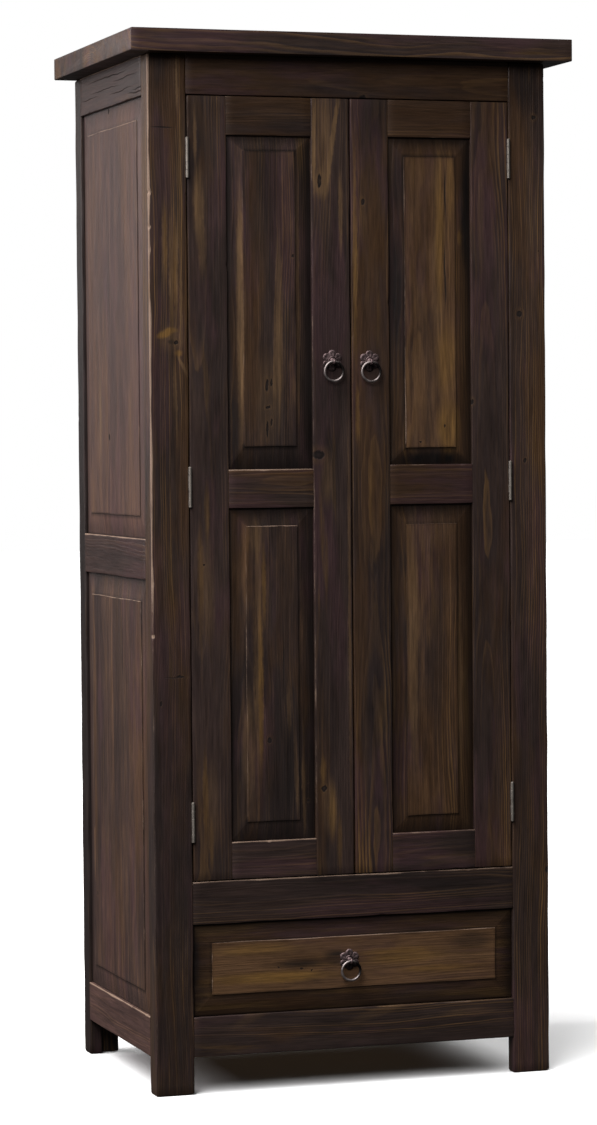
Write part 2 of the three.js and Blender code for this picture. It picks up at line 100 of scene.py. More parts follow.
# ------------------------------------------------------------------ shader node helpers
class Nodes:
    """Short calls that add nodes to a material and join them up."""

    def __init__(self, tree):
        self.tree = tree

    def add(self, kind, **settings):
        node = self.tree.nodes.new(kind)
        for key, value in settings.items():
            setattr(node, key, value)
        return node

    def feed(self, socket, value):
        if isinstance(value, bpy.types.NodeSocket):
            self.tree.links.new(value, socket)
        elif value is not None:
            socket.default_value = value

    def math(self, operation, a, b=None):
        node = self.add("ShaderNodeMath", operation=operation)
        self.feed(node.inputs[0], a)
        self.feed(node.inputs[1], b)
        return node.outputs[0]

    def total(self, *values):
        result = values[0]
        for value in values[1:]:
            result = self.math("ADD", result, value)
        return result

    def product(self, *values):
        result = values[0]
        for value in values[1:]:
            result = self.math("MULTIPLY", result, value)
        return result

    def weighted(self, *pairs, plus=0.0):
        """The sum of values, each times its weight, and of one number more."""
        return self.total(*(self.product(value, weight) for value, weight in pairs), plus)

    def centred(self, value, size):
        """A value from 0 to 1 turned into a swing either side of nothing, that wide in all."""
        return self.product(self.math("SUBTRACT", value, 0.5), size)

    def attribute(self, name, output="Fac"):
        """What the mesh says at each point."""
        return self.add("ShaderNodeAttribute", attribute_name=name).outputs[output]

    def split(self, vector):
        node = self.add("ShaderNodeSeparateXYZ")
        self.feed(node.inputs[0], vector)
        return node.outputs[0], node.outputs[1], node.outputs[2]

    def vector(self, x, y, z):
        node = self.add("ShaderNodeCombineXYZ")
        for socket, value in zip(node.inputs, (x, y, z)):
            self.feed(socket, value)
        return node.outputs[0]

    def stretched(self, vector, scale):
        node = self.add("ShaderNodeVectorMath", operation="MULTIPLY")
        self.feed(node.inputs[0], vector)
        self.feed(node.inputs[1], scale)
        return node.outputs[0]

    def scaled(self, vector, factor):
        node = self.add("ShaderNodeVectorMath", operation="SCALE")
        self.feed(node.inputs[0], vector)
        self.feed(node.inputs["Scale"], factor)
        return node.outputs[0]

    def noise(self, vector, scale, detail=2.0, roughness=0.5):
        """Noise from 0 to 1. The scale is in cycles a metre along each axis."""
        node = self.add("ShaderNodeTexNoise")
        self.feed(node.inputs["Vector"], self.stretched(vector, scale))
        node.inputs["Scale"].default_value = 1.0
        node.inputs["Detail"].default_value = detail
        node.inputs["Roughness"].default_value = roughness
        return node.outputs["Fac"]

    def ramp(self, value, low, high, to_low=0.0, to_high=1.0, smooth=True):
        kind = "SMOOTHSTEP" if smooth else "LINEAR"
        node = self.add("ShaderNodeMapRange", interpolation_type=kind, clamp=True)
        for socket, number in zip(node.inputs, (value, low, high, to_low, to_high)):
            self.feed(socket, number)
        return node.outputs[0]

    def mix(self, factor, a, b):
        node = self.add("ShaderNodeMix", data_type="RGBA", clamp_factor=True)
        self.feed(node.inputs["Factor"], factor)
        for socket, colour in ((node.inputs[6], a), (node.inputs[7], b)):
            if not isinstance(colour, bpy.types.NodeSocket):
                colour = (*colour, 1.0)
            self.feed(socket, colour)
        return node.outputs[2]

    def bump(self, height, distance, strength=1.0):
        node = self.add("ShaderNodeBump")
        node.inputs["Distance"].default_value = distance
        node.inputs["Strength"].default_value = strength
        self.feed(node.inputs["Height"], height)
        return node.outputs["Normal"]


def new_material(name):
    """A material with only a Principled shader, its Nodes and that shader's inputs."""
    material = bpy.data.materials.new(name)
    material.use_nodes = True
    tree = material.node_tree
    tree.nodes.clear()
    shader = tree.nodes.new("ShaderNodeBsdfPrincipled")
    output = tree.nodes.new("ShaderNodeOutputMaterial")
    tree.links.new(shader.outputs[0], output.inputs["Surface"])
    return material, Nodes(tree), shader.inputs


# ------------------------------------------------------------------ pine
# Linear colours. The stain is darkest in the soft early wood, so the late wood of each
# growth ring shows as a lighter ochre line. The bare inside of the piece has no stain.
STAINED = {
    "deep": (0.0165, 0.0112, 0.0103),
    "body": (0.037, 0.0228, 0.0195),
    "umber": (0.048, 0.0238, 0.0112),
    "golden": (0.078, 0.043, 0.0165),
    "streak": (0.138, 0.074, 0.026),
    "rubbed": (0.112, 0.059, 0.0285),
    "cloud": (0.118, 0.068, 0.033),
    "plum": (0.047, 0.0235, 0.0262),
    # dust with a painted sheen on it, for the sides that the lamps graze
    "dust_and_sheen": (0.122, 0.062, 0.052),
    "amber": (0.152, 0.080, 0.0235),
    "black": (0.0085, 0.0072, 0.007),
    "bare": (0.215, 0.145, 0.105),
    "knot": (0.006, 0.004, 0.0035),
    "halo": (0.105, 0.055, 0.022),
    "rough": (0.36, 0.56),
}
BARE = {
    "deep": (0.34, 0.20, 0.10),
    "body": (0.44, 0.28, 0.15),
    "umber": (0.40, 0.25, 0.13),
    "golden": (0.48, 0.31, 0.16),
    "streak": (0.27, 0.14, 0.06),
    "rubbed": (0.47, 0.31, 0.17),
    "cloud": (0.47, 0.31, 0.17),
    "plum": (0.40, 0.26, 0.15),
    "dust_and_sheen": (0.47, 0.33, 0.20),
    "amber": (0.45, 0.27, 0.12),
    "black": (0.20, 0.12, 0.07),
    "bare": (0.52, 0.37, 0.22),
    "knot": (0.09, 0.04, 0.018),
    "halo": (0.28, 0.13, 0.05),
    "rough": (0.58, 0.74),
}
RING_WIDTH = 4.6 * MM
KNOT_CELL = (6.5, 2.1)  # cells a metre across and along, each with a chance of one knot


def mark_ratio(n, across, along, centre, radii, lean=0.0):
    """The distance from a mark's centre, as a share of its radii. It may lean across."""
    up = n.math("SUBTRACT", along, centre[1])
    aside = n.math("SUBTRACT", across, centre[0])
    if lean:
        aside = n.total(aside, n.product(up, -lean))
    u = n.math("DIVIDE", aside, radii[0])
    v = n.math("DIVIDE", up, radii[1])
    return n.math("SQRT", n.total(n.product(u, u), n.product(v, v)))


def parting(n, across, centre, ratio):
    """How far the grain moves aside round a knot: lines near its middle move to its edge."""
    falloff = n.math("EXPONENT", n.product(n.product(ratio, ratio), -0.42))
    return n.product(n.math("SUBTRACT", across, centre), falloff, 0.85)


def random_knots(n, across, along, share):
    """Knots in that share of a pattern's cells: how far they part the grain, and their ratio."""
    cells = n.add("ShaderNodeTexVoronoi", voronoi_dimensions="2D")
    cells.inputs["Scale"].default_value = 1.0
    cells.inputs["Randomness"].default_value = 0.85
    place = n.vector(n.product(across, KNOT_CELL[0]), n.product(along, KNOT_CELL[1]), 0.0)
    n.feed(cells.inputs["Vector"], place)
    x, y, _ = n.split(cells.outputs["Position"])
    centre = n.math("DIVIDE", x, KNOT_CELL[0]), n.math("DIVIDE", y, KNOT_CELL[1])
    chance, _, _ = n.split(cells.outputs["Color"])
    radius = n.ramp(chance, 1 - share, 1.0, 0.1 * MM, 6 * MM, smooth=False)
    ratio = mark_ratio(n, across, along, centre, (radius, n.product(radius, 1.3)))
    return parting(n, across, centre[0], ratio), ratio


def knots_and_cracks(n, place, ragged, knots, cracks, knotty):
    """How far knots move the grain aside, and how strongly dark cores and halos show.

    ragged is across and along with a ragged edge given to whatever is drawn in them.
    """
    across, _, along = n.split(place)
    aside, ratio = random_knots(n, *ragged, knotty)
    core = n.ramp(ratio, 1.0, 0.7)
    halo = n.product(n.ramp(ratio, 2.6, 1.0), n.ramp(ratio, 0.7, 1.0))
    for *centre, half_width, half_length in knots:
        ratio = mark_ratio(n, *ragged, centre, (half_width, half_length))
        aside = n.total(aside, parting(n, across, centre[0], ratio))
        inside = n.product(n.ramp(ratio, 1.05, 0.72), n.ramp(ratio, 0.0, 0.7, 0.75, 1.0))
        core = n.math("MAXIMUM", core, inside)
        outside = n.product(n.ramp(ratio, 2.4, 1.0), n.ramp(ratio, 0.7, 1.0))
        halo = n.math("MAXIMUM", halo, outside)
    for *centre, half_width, half_length in cracks:
        wander = n.centred(n.noise(place, (14, 14, 14), 3.0), 9 * MM)
        crooked = n.total(across, wander), n.total(along, wander)
        ratio = mark_ratio(n, *crooked, centre, (half_width, half_length))
        core = n.math("MAXIMUM", core, n.ramp(ratio, 1.0, 0.45, 0.0, 0.9))
    return aside, core, halo


def late_wood(n, place, aside):
    """The late wood of each growth ring, where the grain has been moved that far aside."""
    across, through, along = n.split(place)
    parted = n.math("SUBTRACT", across, aside)
    radius = n.math("SQRT", n.total(n.product(parted, parted), n.product(through, through)))
    drift = n.centred(n.noise(place, (6, 6, 1.5), 2.0), 46 * MM)
    waver = n.centred(n.noise(place, (28, 28, 5), 3.0, 0.6), 9 * MM)
    radius = n.total(radius, drift, waver)
    ring = n.math("FRACT", n.math("DIVIDE", radius, RING_WIDTH))
    late = n.product(n.ramp(ring, 0.15, 0.85), n.ramp(ring, 1.0, 0.88))
    growth = n.noise(n.vector(radius, 0.0, n.product(along, 0.004)), (150, 1, 150), 1.0)
    return n.product(late, n.ramp(growth, 0.38, 0.66, 0.1, 1.0))


def pine(name, finish, staves=0.0, knots=(), cracks=(), clouds=(), tints=(), warm=0.0,
         gold=0.3, rings=0.6, dust_and_sheen=0.0, knotty=0.12):
    """Pine that reads a piece's grain, wear, rubbed and shade attributes.

    grain is across, through and along the board in metres, measured from the pith. Knots
    and cracks are (across, along, radius across, radius along) in those coordinates, and
    clouds add a signed lightness and how far they lean. Tints are the same, from amber down
    to black dirt. Staves is the width of glued-up boards. warm, gold, rings, dust_and_sheen
    and knotty say how brown, golden, striped, dusty with a painted sheen, and knotty the wood is.
    """
    material, n, shader = new_material(name)
    across, through, along = n.split(n.attribute("grain", "Vector"))
    if staves:
        stave = n.math("FLOOR", n.math("DIVIDE", across, staves))
        across = n.total(across, n.product(n.math("SINE", n.product(stave, 12.9)), 0.05))
        through = n.total(through, n.product(n.math("SINE", n.product(stave, 7.7)), 0.02))
        along = n.total(along, n.product(stave, 3.71))
    place = n.vector(across, through, along)
    tatter = n.centred(n.noise(place, (110, 110, 80), 5.0, 0.65), 7 * MM)
    ragged = n.total(across, tatter), n.total(along, n.product(tatter, 1.7))
    aside, core, halo = knots_and_cracks(n, place, ragged, knots, cracks, knotty)
    late = late_wood(n, place, aside)

    # Stain taken up unevenly: cloudy patches, long streaks and fine fibres.
    patch = n.noise(place, (11, 11, 2.4), 5.0, 0.62)
    brown = n.noise(n.stretched(place, (1, 1, -1)), (9, 9, 1.7), 4.0, 0.6)
    sunny = n.noise(place, (30, 30, 2.2), 4.0, 0.62)
    plum = n.noise(n.stretched(place, (-1, 1, 1)), (13, 13, 2.8), 4.0, 0.62)
    streaks = n.noise(place, (120, 120, 2.4), 4.0, 0.6)
    blotch = n.noise(place, (55, 55, 12), 4.0, 0.6)
    grit = n.noise(place, (270, 270, 16), 3.0, 0.7)
    fibres = n.noise(place, (900, 900, 14), 3.0, 0.65)
    open_grain = n.ramp(n.noise(place, (15, 15, 1.9), 3.0), 0.40, 0.68, 0.12, 1.0)
    colour = n.mix(n.ramp(patch, 0.30, 0.68), finish["deep"], finish["body"])
    for tone, share in (
        ("umber", n.ramp(brown, 0.62 - 0.4 * warm, 0.78 - 0.4 * warm, 0.0, 0.92)),
        ("plum", n.ramp(plum, 0.50, 0.66, 0.0, 0.75)),
        ("golden", n.ramp(sunny, 0.66 - 0.16 * gold, 0.80 - 0.16 * gold, 0.0, 0.8)),
        ("streak", n.product(late, open_grain, rings)),
        ("halo", n.product(halo, 0.22)),
    ):
        colour = n.mix(share, colour, finish[tone])
    # Dust and a painted sheen: a pale mauve film, the sheen painted in where the lamps graze the
    # sides.
    if dust_and_sheen:
        dust_and_sheen_noise = n.weighted((patch, 0.5), (blotch, 0.5), (streaks, 0.4), plus=-0.2)
        colour = n.mix(n.ramp(dust_and_sheen_noise, 0.3, 0.65, 0.5 * dust_and_sheen, dust_and_sheen), colour, finish["dust_and_sheen"])

    # Stain rubbed thin in the middle of a panel and along a face.
    rubbed = n.attribute("rubbed")
    uneven = n.total(n.centred(patch, 1.6), n.centred(streaks, 0.5), n.centred(blotch, 1.1))
    rub = n.total(rubbed, uneven, n.product(late, 0.1), -0.04)
    rub = n.product(n.ramp(rub, 0.2, 1.1), n.ramp(rubbed, 0.0, 0.25))
    colour = n.mix(n.product(rub, 0.85), colour, finish["rubbed"])

    # The piece's own pale and dark marks.
    broken = n.weighted((streaks, 1.1), (blotch, 1.3), plus=-0.45)
    marks = [(mark, "cloud", "deep") for mark in clouds]
    marks += [(mark, "amber", "black") for mark in tints]
    for (*centre, half_width, half_length, lightness, lean), pale, dark in marks:
        ratio = mark_ratio(n, ragged[0], along, centre, (half_width, half_length), lean)
        strength = n.product(n.ramp(ratio, 1.2, 0.35), broken, abs(lightness))
        colour = n.mix(strength, colour, finish[dark if lightness < 0 else pale])

    lines = n.weighted((fibres, 0.75), (streaks, 0.6), (grit, 1.5), plus=-0.425)
    colour = n.scaled(colour, n.product(lines, n.ramp(late, 0.0, 1.0, 0.95, 1.08)))
    # The shade attribute: each board's own tone, and painted shade and light on panel bevels, along
    # fields' steps and on the top board's ends.
    colour = n.scaled(colour, n.attribute("shade"))
    colour = n.mix(core, colour, finish["knot"])

    # Arrises rubbed back to pale wood, in broken lines of uneven width.
    edge = n.attribute("wear")
    breaks = n.weighted((n.noise(place, (38, 38, 11), 4.0, 0.65), 0.9), (fibres, 0.25))
    bare = n.product(n.ramp(n.total(edge, breaks), 1.12, 1.42), n.ramp(edge, 0.05, 0.5))
    n.feed(shader["Base Color"], n.mix(bare, colour, finish["bare"]))

    gloss = n.weighted((n.noise(place, (60, 60, 9), 4.0), 0.7), (streaks, 0.3))
    rough = n.ramp(gloss, 0.25, 0.75, *finish["rough"])
    n.feed(shader["Roughness"], n.total(rough, n.product(bare, 0.12), n.product(core, 0.5)))
    relief = n.weighted((late, 0.5), (fibres, 0.55), (streaks, 0.8), (core, -0.9), (bare, -0.4),
                        (breaks, 0.35))
    n.feed(shader["Normal"], n.bump(relief, 0.35 * MM))
    shader["Specular IOR Level"].default_value = 0.3
    shader["Specular Tint"].default_value = (1.0, 0.87, 0.85, 1.0)
    return material


# ------------------------------------------------------------------ metals
def metal(name, dark, light, rough, spots, scale=240.0):
    """Cast or rolled metal, oxidised in patches, with a finely pitted surface."""
    material, n, shader = new_material(name)
    place = n.add("ShaderNodeTexCoord").outputs["Object"]
    broad = n.noise(place, (scale * 0.35,) * 3, 4.0, 0.6)
    fine = n.noise(place, (scale * 6,) * 3, 5.0, 0.65)
    edge = n.ramp(n.add("ShaderNodeNewGeometry").outputs["Pointiness"], 0.49, 0.56)
    tone = n.weighted((broad, 0.9), (fine, 0.35), (edge, 0.35), plus=-0.15)
    colour = n.mix(n.ramp(tone, 0.25, 0.85), dark, light)
    pit = n.ramp(n.noise(place, (scale * 2.2,) * 3, 2.0), 0.62, 0.74)
    colour = n.mix(n.product(pit, spots), colour, tuple(value * 0.35 for value in dark))
    # The shade attribute is painted shade: a pull ring's upper right and a rosette's lower half.
    n.feed(shader["Base Color"], n.scaled(colour, n.attribute("shade")))
    patchy = n.weighted((broad, 0.6), (fine, 0.4))
    n.feed(shader["Roughness"], n.ramp(patchy, 0.3, 0.7, *rough))
    shader["Metallic"].default_value = 1.0
    n.feed(shader["Normal"], n.bump(n.total(fine, n.product(pit, -0.8)), 0.12 * MM, 0.6))
    return material


METALS = {
    name: metal(name, *settings) for name, *settings in (
        ("hinge_steel", (0.10, 0.088, 0.078), (0.27, 0.24, 0.212), (0.5, 0.66), 0.5),
        ("pull_bronze", (0.10, 0.082, 0.08), (0.33, 0.28, 0.27), (0.42, 0.6), 0.5),
        ("cast_bronze", (0.05, 0.033, 0.033), (0.21, 0.15, 0.15), (0.5, 0.68), 0.6),
        ("rod_steel", (0.42, 0.41, 0.39), (0.62, 0.61, 0.59), (0.22, 0.36), 0.2, 90.0),
        ("nail_steel", (0.05, 0.04, 0.035), (0.16, 0.12, 0.1), (0.5, 0.75), 0.7),
    )
}


# ------------------------------------------------------------------ mesh helpers
class Shell:
    """Points, faces and point attributes gathered for one mesh."""

    def __init__(self):
        self.points = []
        self.faces = []
        self.values = {"wear": [], "rubbed": [], "shade": []}

    def add(self, points, wear=0.0, rubbed=0.0, shade=1.0):
        """Adds points (n, 3) and returns their numbers. A value is one number or n of them."""
        points = np.asarray(points, float).reshape(-1, 3)
        start = len(self.points)
        self.points.extend(points)
        for key, value in (("wear", wear), ("rubbed", rubbed), ("shade", shade)):
            self.values[key].extend(np.broadcast_to(value, len(points)))
        return list(range(start, start + len(points)))

    def skin(self, rows):
        """Joins each row of point numbers to the next with a band of quads."""
        for near, far in zip(rows, rows[1:]):
            for i in range(len(near)):
                j = (i + 1) % len(near)
                self.faces.append((near[i], near[j], far[j], far[i]))

    def close(self, rows):
        """Joins the rows and covers both ends."""
        self.skin(rows)
        self.faces += [tuple(rows[0]), tuple(rows[-1])]


def wobble(rng, places, wavelength, size):
    """A smooth random curve: three sines of about that wavelength, at most about size high."""
    total = np.zeros_like(np.asarray(places, float))
    for factor in (1.0, 0.57, 0.31):
        stretch = factor * rng.uniform(0.8, 1.25)
        phase = rng.uniform(0, 2 * math.pi)
        total += factor * np.sin(2 * math.pi * places / (wavelength * stretch) + phase)
    return total * size / 1.6


def seeded(name):
    """A random generator that is always the same for that name."""
    return np.random.default_rng([ord(letter) for letter in name])


class Timber:
    """Which way a board's grain runs, and where the tree's pith lay beside it."""

    def __init__(self, lo, hi, along, rng, pith=None, tilt=None):
        size = hi - lo
        self.along = along
        self.through, self.across = sorted(cross_axes(along), key=lambda axis: size[axis])
        self.middle = (lo + hi) / 2
        width = size[self.across]
        self.pith = pith if pith else (rng.uniform(-0.7, 0.7) * width, rng.uniform(0.02, 0.08))
        self.tilt = rng.uniform(-0.02, 0.02) if tilt is None else tilt
        self.start = rng.uniform(2, 30)

    def grain(self, points):
        local = np.asarray(points) - self.middle
        run = local[:, self.along]
        across = local[:, self.across] - self.pith[0]
        through = local[:, self.through] + self.pith[1] + self.tilt * run
        return np.stack([across, through, run + self.start], axis=1)

    def spot(self, across, along):
        """Shader coordinates of a place given by its world coordinates in millimetres."""
        local = across * MM - self.middle[self.across], along * MM - self.middle[self.along]
        return local[0] - self.pith[0], local[1] + self.start


def add_object(name, data):
    obj = bpy.data.objects.new(name, data)
    bpy.context.scene.collection.objects.link(obj)
    return obj


def piece(name, shell, body, slot, material=None, timber=None, replaces=(), sharp=35):
    """Makes the mesh, gives it its material, or its slot's metal, and rides it on a body."""
    mesh = bpy.data.meshes.new(name)
    mesh.from_pydata([tuple(point) for point in shell.points], [], shell.faces)
    if timber:
        grain = timber.grain(np.array(shell.points)).astype(np.float32)
        layer = mesh.attributes.new("grain", "FLOAT_VECTOR", "POINT")
        layer.data.foreach_set("vector", grain.ravel())
    for key, values in shell.values.items():
        layer = mesh.attributes.new(key, "FLOAT", "POINT")
        layer.data.foreach_set("value", np.array(values, np.float32))
    work = bmesh.new()
    work.from_mesh(mesh)
    bmesh.ops.recalc_face_normals(work, faces=work.faces)
    work.to_mesh(mesh)
    work.free()
    mesh.shade_smooth()
    mesh.set_sharp_from_angle(angle=math.radians(sharp))
    mesh.materials.append(material or METALS[slot])
    obj = add_object(name, mesh)
    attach(obj, body)
    if replaces:
        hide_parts(*replaces)


# ------------------------------------------------------------------ boards
ARC_STEPS = 3
BAND = 5 * MM  # wear fades out this far from an arris
FADE_LENGTH = 250 * MM  # over which an arris gets less worn
BITE_STATIONS = np.array([-1.6, -0.9, -0.4, 0.0, 0.5, 1.0, 1.7])  # in widths of a chip


def section_rows(corners, radii, inset, edge_step):
    """A section with rounded corners, at every station along a board.

    corners is (stations, corners, 2), anticlockwise; radii is (stations, corners) and inset
    is (stations,). Returns points (stations, points, 2) and how worn each point may be, with
    the numbers of the corner and of the side that it belongs to. A side leaves its corner.
    """
    count = corners.shape[1]
    ahead = np.roll(corners, -1, axis=1) - corners
    lengths = np.linalg.norm(ahead, axis=2)
    leaving = ahead / lengths[:, :, None]
    arriving = np.roll(leaving, 1, axis=1)

    def inward(direction):
        return np.stack([-direction[:, :, 1], direction[:, :, 0]], axis=2)

    in_line = (leaving * arriving).sum(axis=2, keepdims=True)
    shrunk = corners + inset[:, None, None] * (inward(leaving) + inward(arriving)) / (1 + in_line)
    columns = []
    wear = []
    owner = []
    side = []
    for i in range(count):
        following = (i + 1) % count
        radius = radii[:, i, None]
        centre = shrunk[:, i] + (leaving[:, i] - arriving[:, i]) * radius
        for step in range(ARC_STEPS + 1):
            angle = math.pi / 2 * step / ARC_STEPS
            spoke = arriving[:, i] * math.sin(angle) - leaving[:, i] * math.cos(angle)
            columns.append(centre + radius * spoke)
            wear.append(1.0)
            owner.append(i)
            side.append(i if 2 * step > ARC_STEPS else i - 1)
        band = np.minimum(BAND, lengths[:, i, None] / 3)
        middle = lengths[:, i, None] - 2 * band
        pieces = max(1, round(middle.max() / edge_step))
        for k in range(pieces):
            columns.append(shrunk[:, i] + leaving[:, i] * (band + middle * k / pieces))
            wear.append(0.0)
            owner.append(i)
        columns.append(shrunk[:, following] - leaving[:, i] * band)
        wear.append(0.0)
        owner.append(following)
        side += [i] * (pieces + 1)
    return np.stack(columns, axis=1), np.array(wear), np.array(owner), np.array(side)


def loft(shell, corners, axes, along, span, rng, arris=1.2 * MM, uneven=0.5, chips=0,
         end=0.8 * MM, worn=0.5, step=16 * MM, edge_step=18 * MM, warp=0.15 * MM, shade=1.0,
         rubbed=0.0, foot=None, nicks=(), less_worn_below=None, end_shade=1.0):
    """Lofts a section along a board, with wandering arrises, chips and eased ends.

    axes are the two world axes that the corners are given in. arris may hold one number for
    each corner, as may worn, how strongly that arris has been rubbed. rubbed may hold one
    for each side. foot is a height and the corners that the section has below it. nicks are
    chips down to pale wood: the corner, the place along the board, the width and the depth.
    less_worn_below is the place where the wear starts to fade, and end_shade scales the ends'
    colour, a painted light where it is above one.
    """
    corners = np.array(corners, float)
    arrises = np.broadcast_to(arris, len(corners))
    low, high = span
    places = list(np.linspace(low + end, high - end, max(2, round((high - low) / step) + 1)))
    bites = []
    for _ in range(chips):
        corner, place = rng.integers(len(corners)), rng.uniform(low + 0.02, high - 0.02)
        bites.append((corner, place, rng.uniform(3, 9) * MM, rng.uniform(0.8, 2.2) * MM))
    bites.extend(nicks)
    for _, place, width, _ in bites:
        places.extend(place + width * BITE_STATIONS)
    if foot:
        places.extend((foot[0] - 0.05 * MM, foot[0] + 0.05 * MM))
    places = sorted(set(places))
    stations = np.array([low, low + 0.3 * end] + places + [high - 0.3 * end, high])
    inset = np.zeros(len(stations))
    inset[[0, -1]] = end
    inset[[1, -2]] = 0.3 * end
    radii = np.empty((len(stations), len(corners)))
    for i in range(len(corners)):
        radii[:, i] = arrises[i] * np.clip(1 + wobble(rng, stations, 0.23, uneven), 0.35, 2.5)
    for corner, place, width, depth in bites:
        radii[:, corner] += depth * np.exp(-(((stations - place) / width) ** 2))
    sections = np.tile(corners, (len(stations), 1, 1))
    if foot:
        sections[stations < foot[0]] = foot[1]
    rows, wear, owner, side = section_rows(sections, radii, inset, edge_step)
    for k in (0, 1):
        rows[:, :, k] += wobble(rng, stations, 0.9, warp)[:, None]
    strength = np.broadcast_to(worn, len(corners))
    fresh = np.zeros_like(radii)
    for corner, place, width, _ in nicks:
        fresh[:, corner] += 1.3 * np.exp(-(((stations - place) / width) ** 2))
    fade = np.ones(len(stations))
    if less_worn_below:
        fade = np.interp(stations, (less_worn_below - FADE_LENGTH, less_worn_below), (0.6, 1.0))
    wear = np.maximum(wear * strength[owner] * fade[:, None], wear * fresh[:, owner])
    rubbed = np.broadcast_to(rubbed, len(corners))[side]
    point_rows = []
    for s, station in enumerate(stations):
        points = np.zeros((rows.shape[1], 3))
        points[:, axes[0]] = rows[s, :, 0]
        points[:, axes[1]] = rows[s, :, 1]
        points[:, along] = station
        edge_wear = np.maximum(wear[s], 0.35) if inset[s] > 0 else wear[s]
        tone = shade * (end_shade if s in (0, len(stations) - 1) else 1.0)
        point_rows.append(shell.add(points, wear=edge_wear, rubbed=rubbed, shade=tone))
    shell.close(point_rows)


def beam(shell, lo, hi, along, rng, trim=0.0, **shape):
    """Lofts a rectangular board between two corners, cut short at both ends by the trim."""
    a, b = cross_axes(along)
    corners = [(lo[a], lo[b]), (hi[a], lo[b]), (hi[a], hi[b]), (lo[a], hi[b])]
    loft(shell, corners, (a, b), along, (lo[along] + trim, hi[along] - trim), rng, **shape)


FINISH_OF_SLOT = {"frame_pine": STAINED, "panel_pine": STAINED, "interior_pine": BARE}
PLAIN_PINE = {slot: pine(slot, FINISH_OF_SLOT[slot]) for slot in ("frame_pine", "interior_pine")}
SLOT_OF_NODE = {part["node"]: part["material_slot"] for part in frame["record"]["subparts"]}
BODY_OF_NODE = {
    node: body for body, nodes in frame["record"]["behaviour"]["bodies"].items() for node in nodes
}


def marked(name, finish, timber, **looks):
    """Pine with marks of its own, given in millimetres by their world coordinates.

    Each mark starts with its place across and along the board and its two radii. A cloud
    adds its lightness, and may add how far it leans across for each step along.
    """
    for kind in ("knots", "cracks", "clouds", "tints"):
        placed = []
        for across, along, half_width, half_length, *rest in looks.get(kind, ()):
            lean = [0.0] if len(rest) == 1 else []
            radii = half_width * MM, half_length * MM
            placed.append((*timber.spot(across, along), *radii, *rest, *lean))
        looks[kind] = placed
    return pine(name, finish, **looks)


def board(node, along, looks=None, pith=None, **shape):
    """One straight board in place of a CAD node. Its trim takes off the tenons at its ends."""
    rng = seeded(node)
    lo, hi = box_of(node)
    timber = Timber(lo, hi, along, rng, pith)
    shell = Shell()
    beam(shell, lo, hi, along, rng, **shape)
    slot = SLOT_OF_NODE[node]
    if looks:
        material = marked(f"{node}_pine", FINISH_OF_SLOT[slot], timber, **looks)
    else:
        material = PLAIN_PINE[slot]
    piece(f"{node}_wood", shell, BODY_OF_NODE[node], slot, material, timber, [node])


# ------------------------------------------------------------------ raised panels
FIELD_MARGIN = 9 * MM  # the field's outer rings, which stay level
FIELD_SWELL = 0.22 * MM


def loop(u, v, across, up):
    """Points round a rectangle, anticlockwise from its lower left corner."""
    us = np.linspace(u[0], u[1], across + 1)
    vs = np.linspace(v[0], v[1], up + 1)
    bottom = [(us[i], v[0]) for i in range(across)]
    right = [(u[1], vs[j]) for j in range(up)]
    top = [(us[across - i], v[1]) for i in range(across)]
    left = [(u[0], vs[up - j]) for j in range(up)]
    return np.array(bottom + right + top + left)


def front_place(u, v, w):
    """World points on the front: u along X, v along Z, w below the frame's face."""
    return np.stack([u, FACE + w, v], axis=1)


def side_place(side):
    """The same for a side of the carcass, with u along Y."""
    def place(u, v, w):
        return np.stack([side * (HALF - w), u, v], axis=1)

    return place


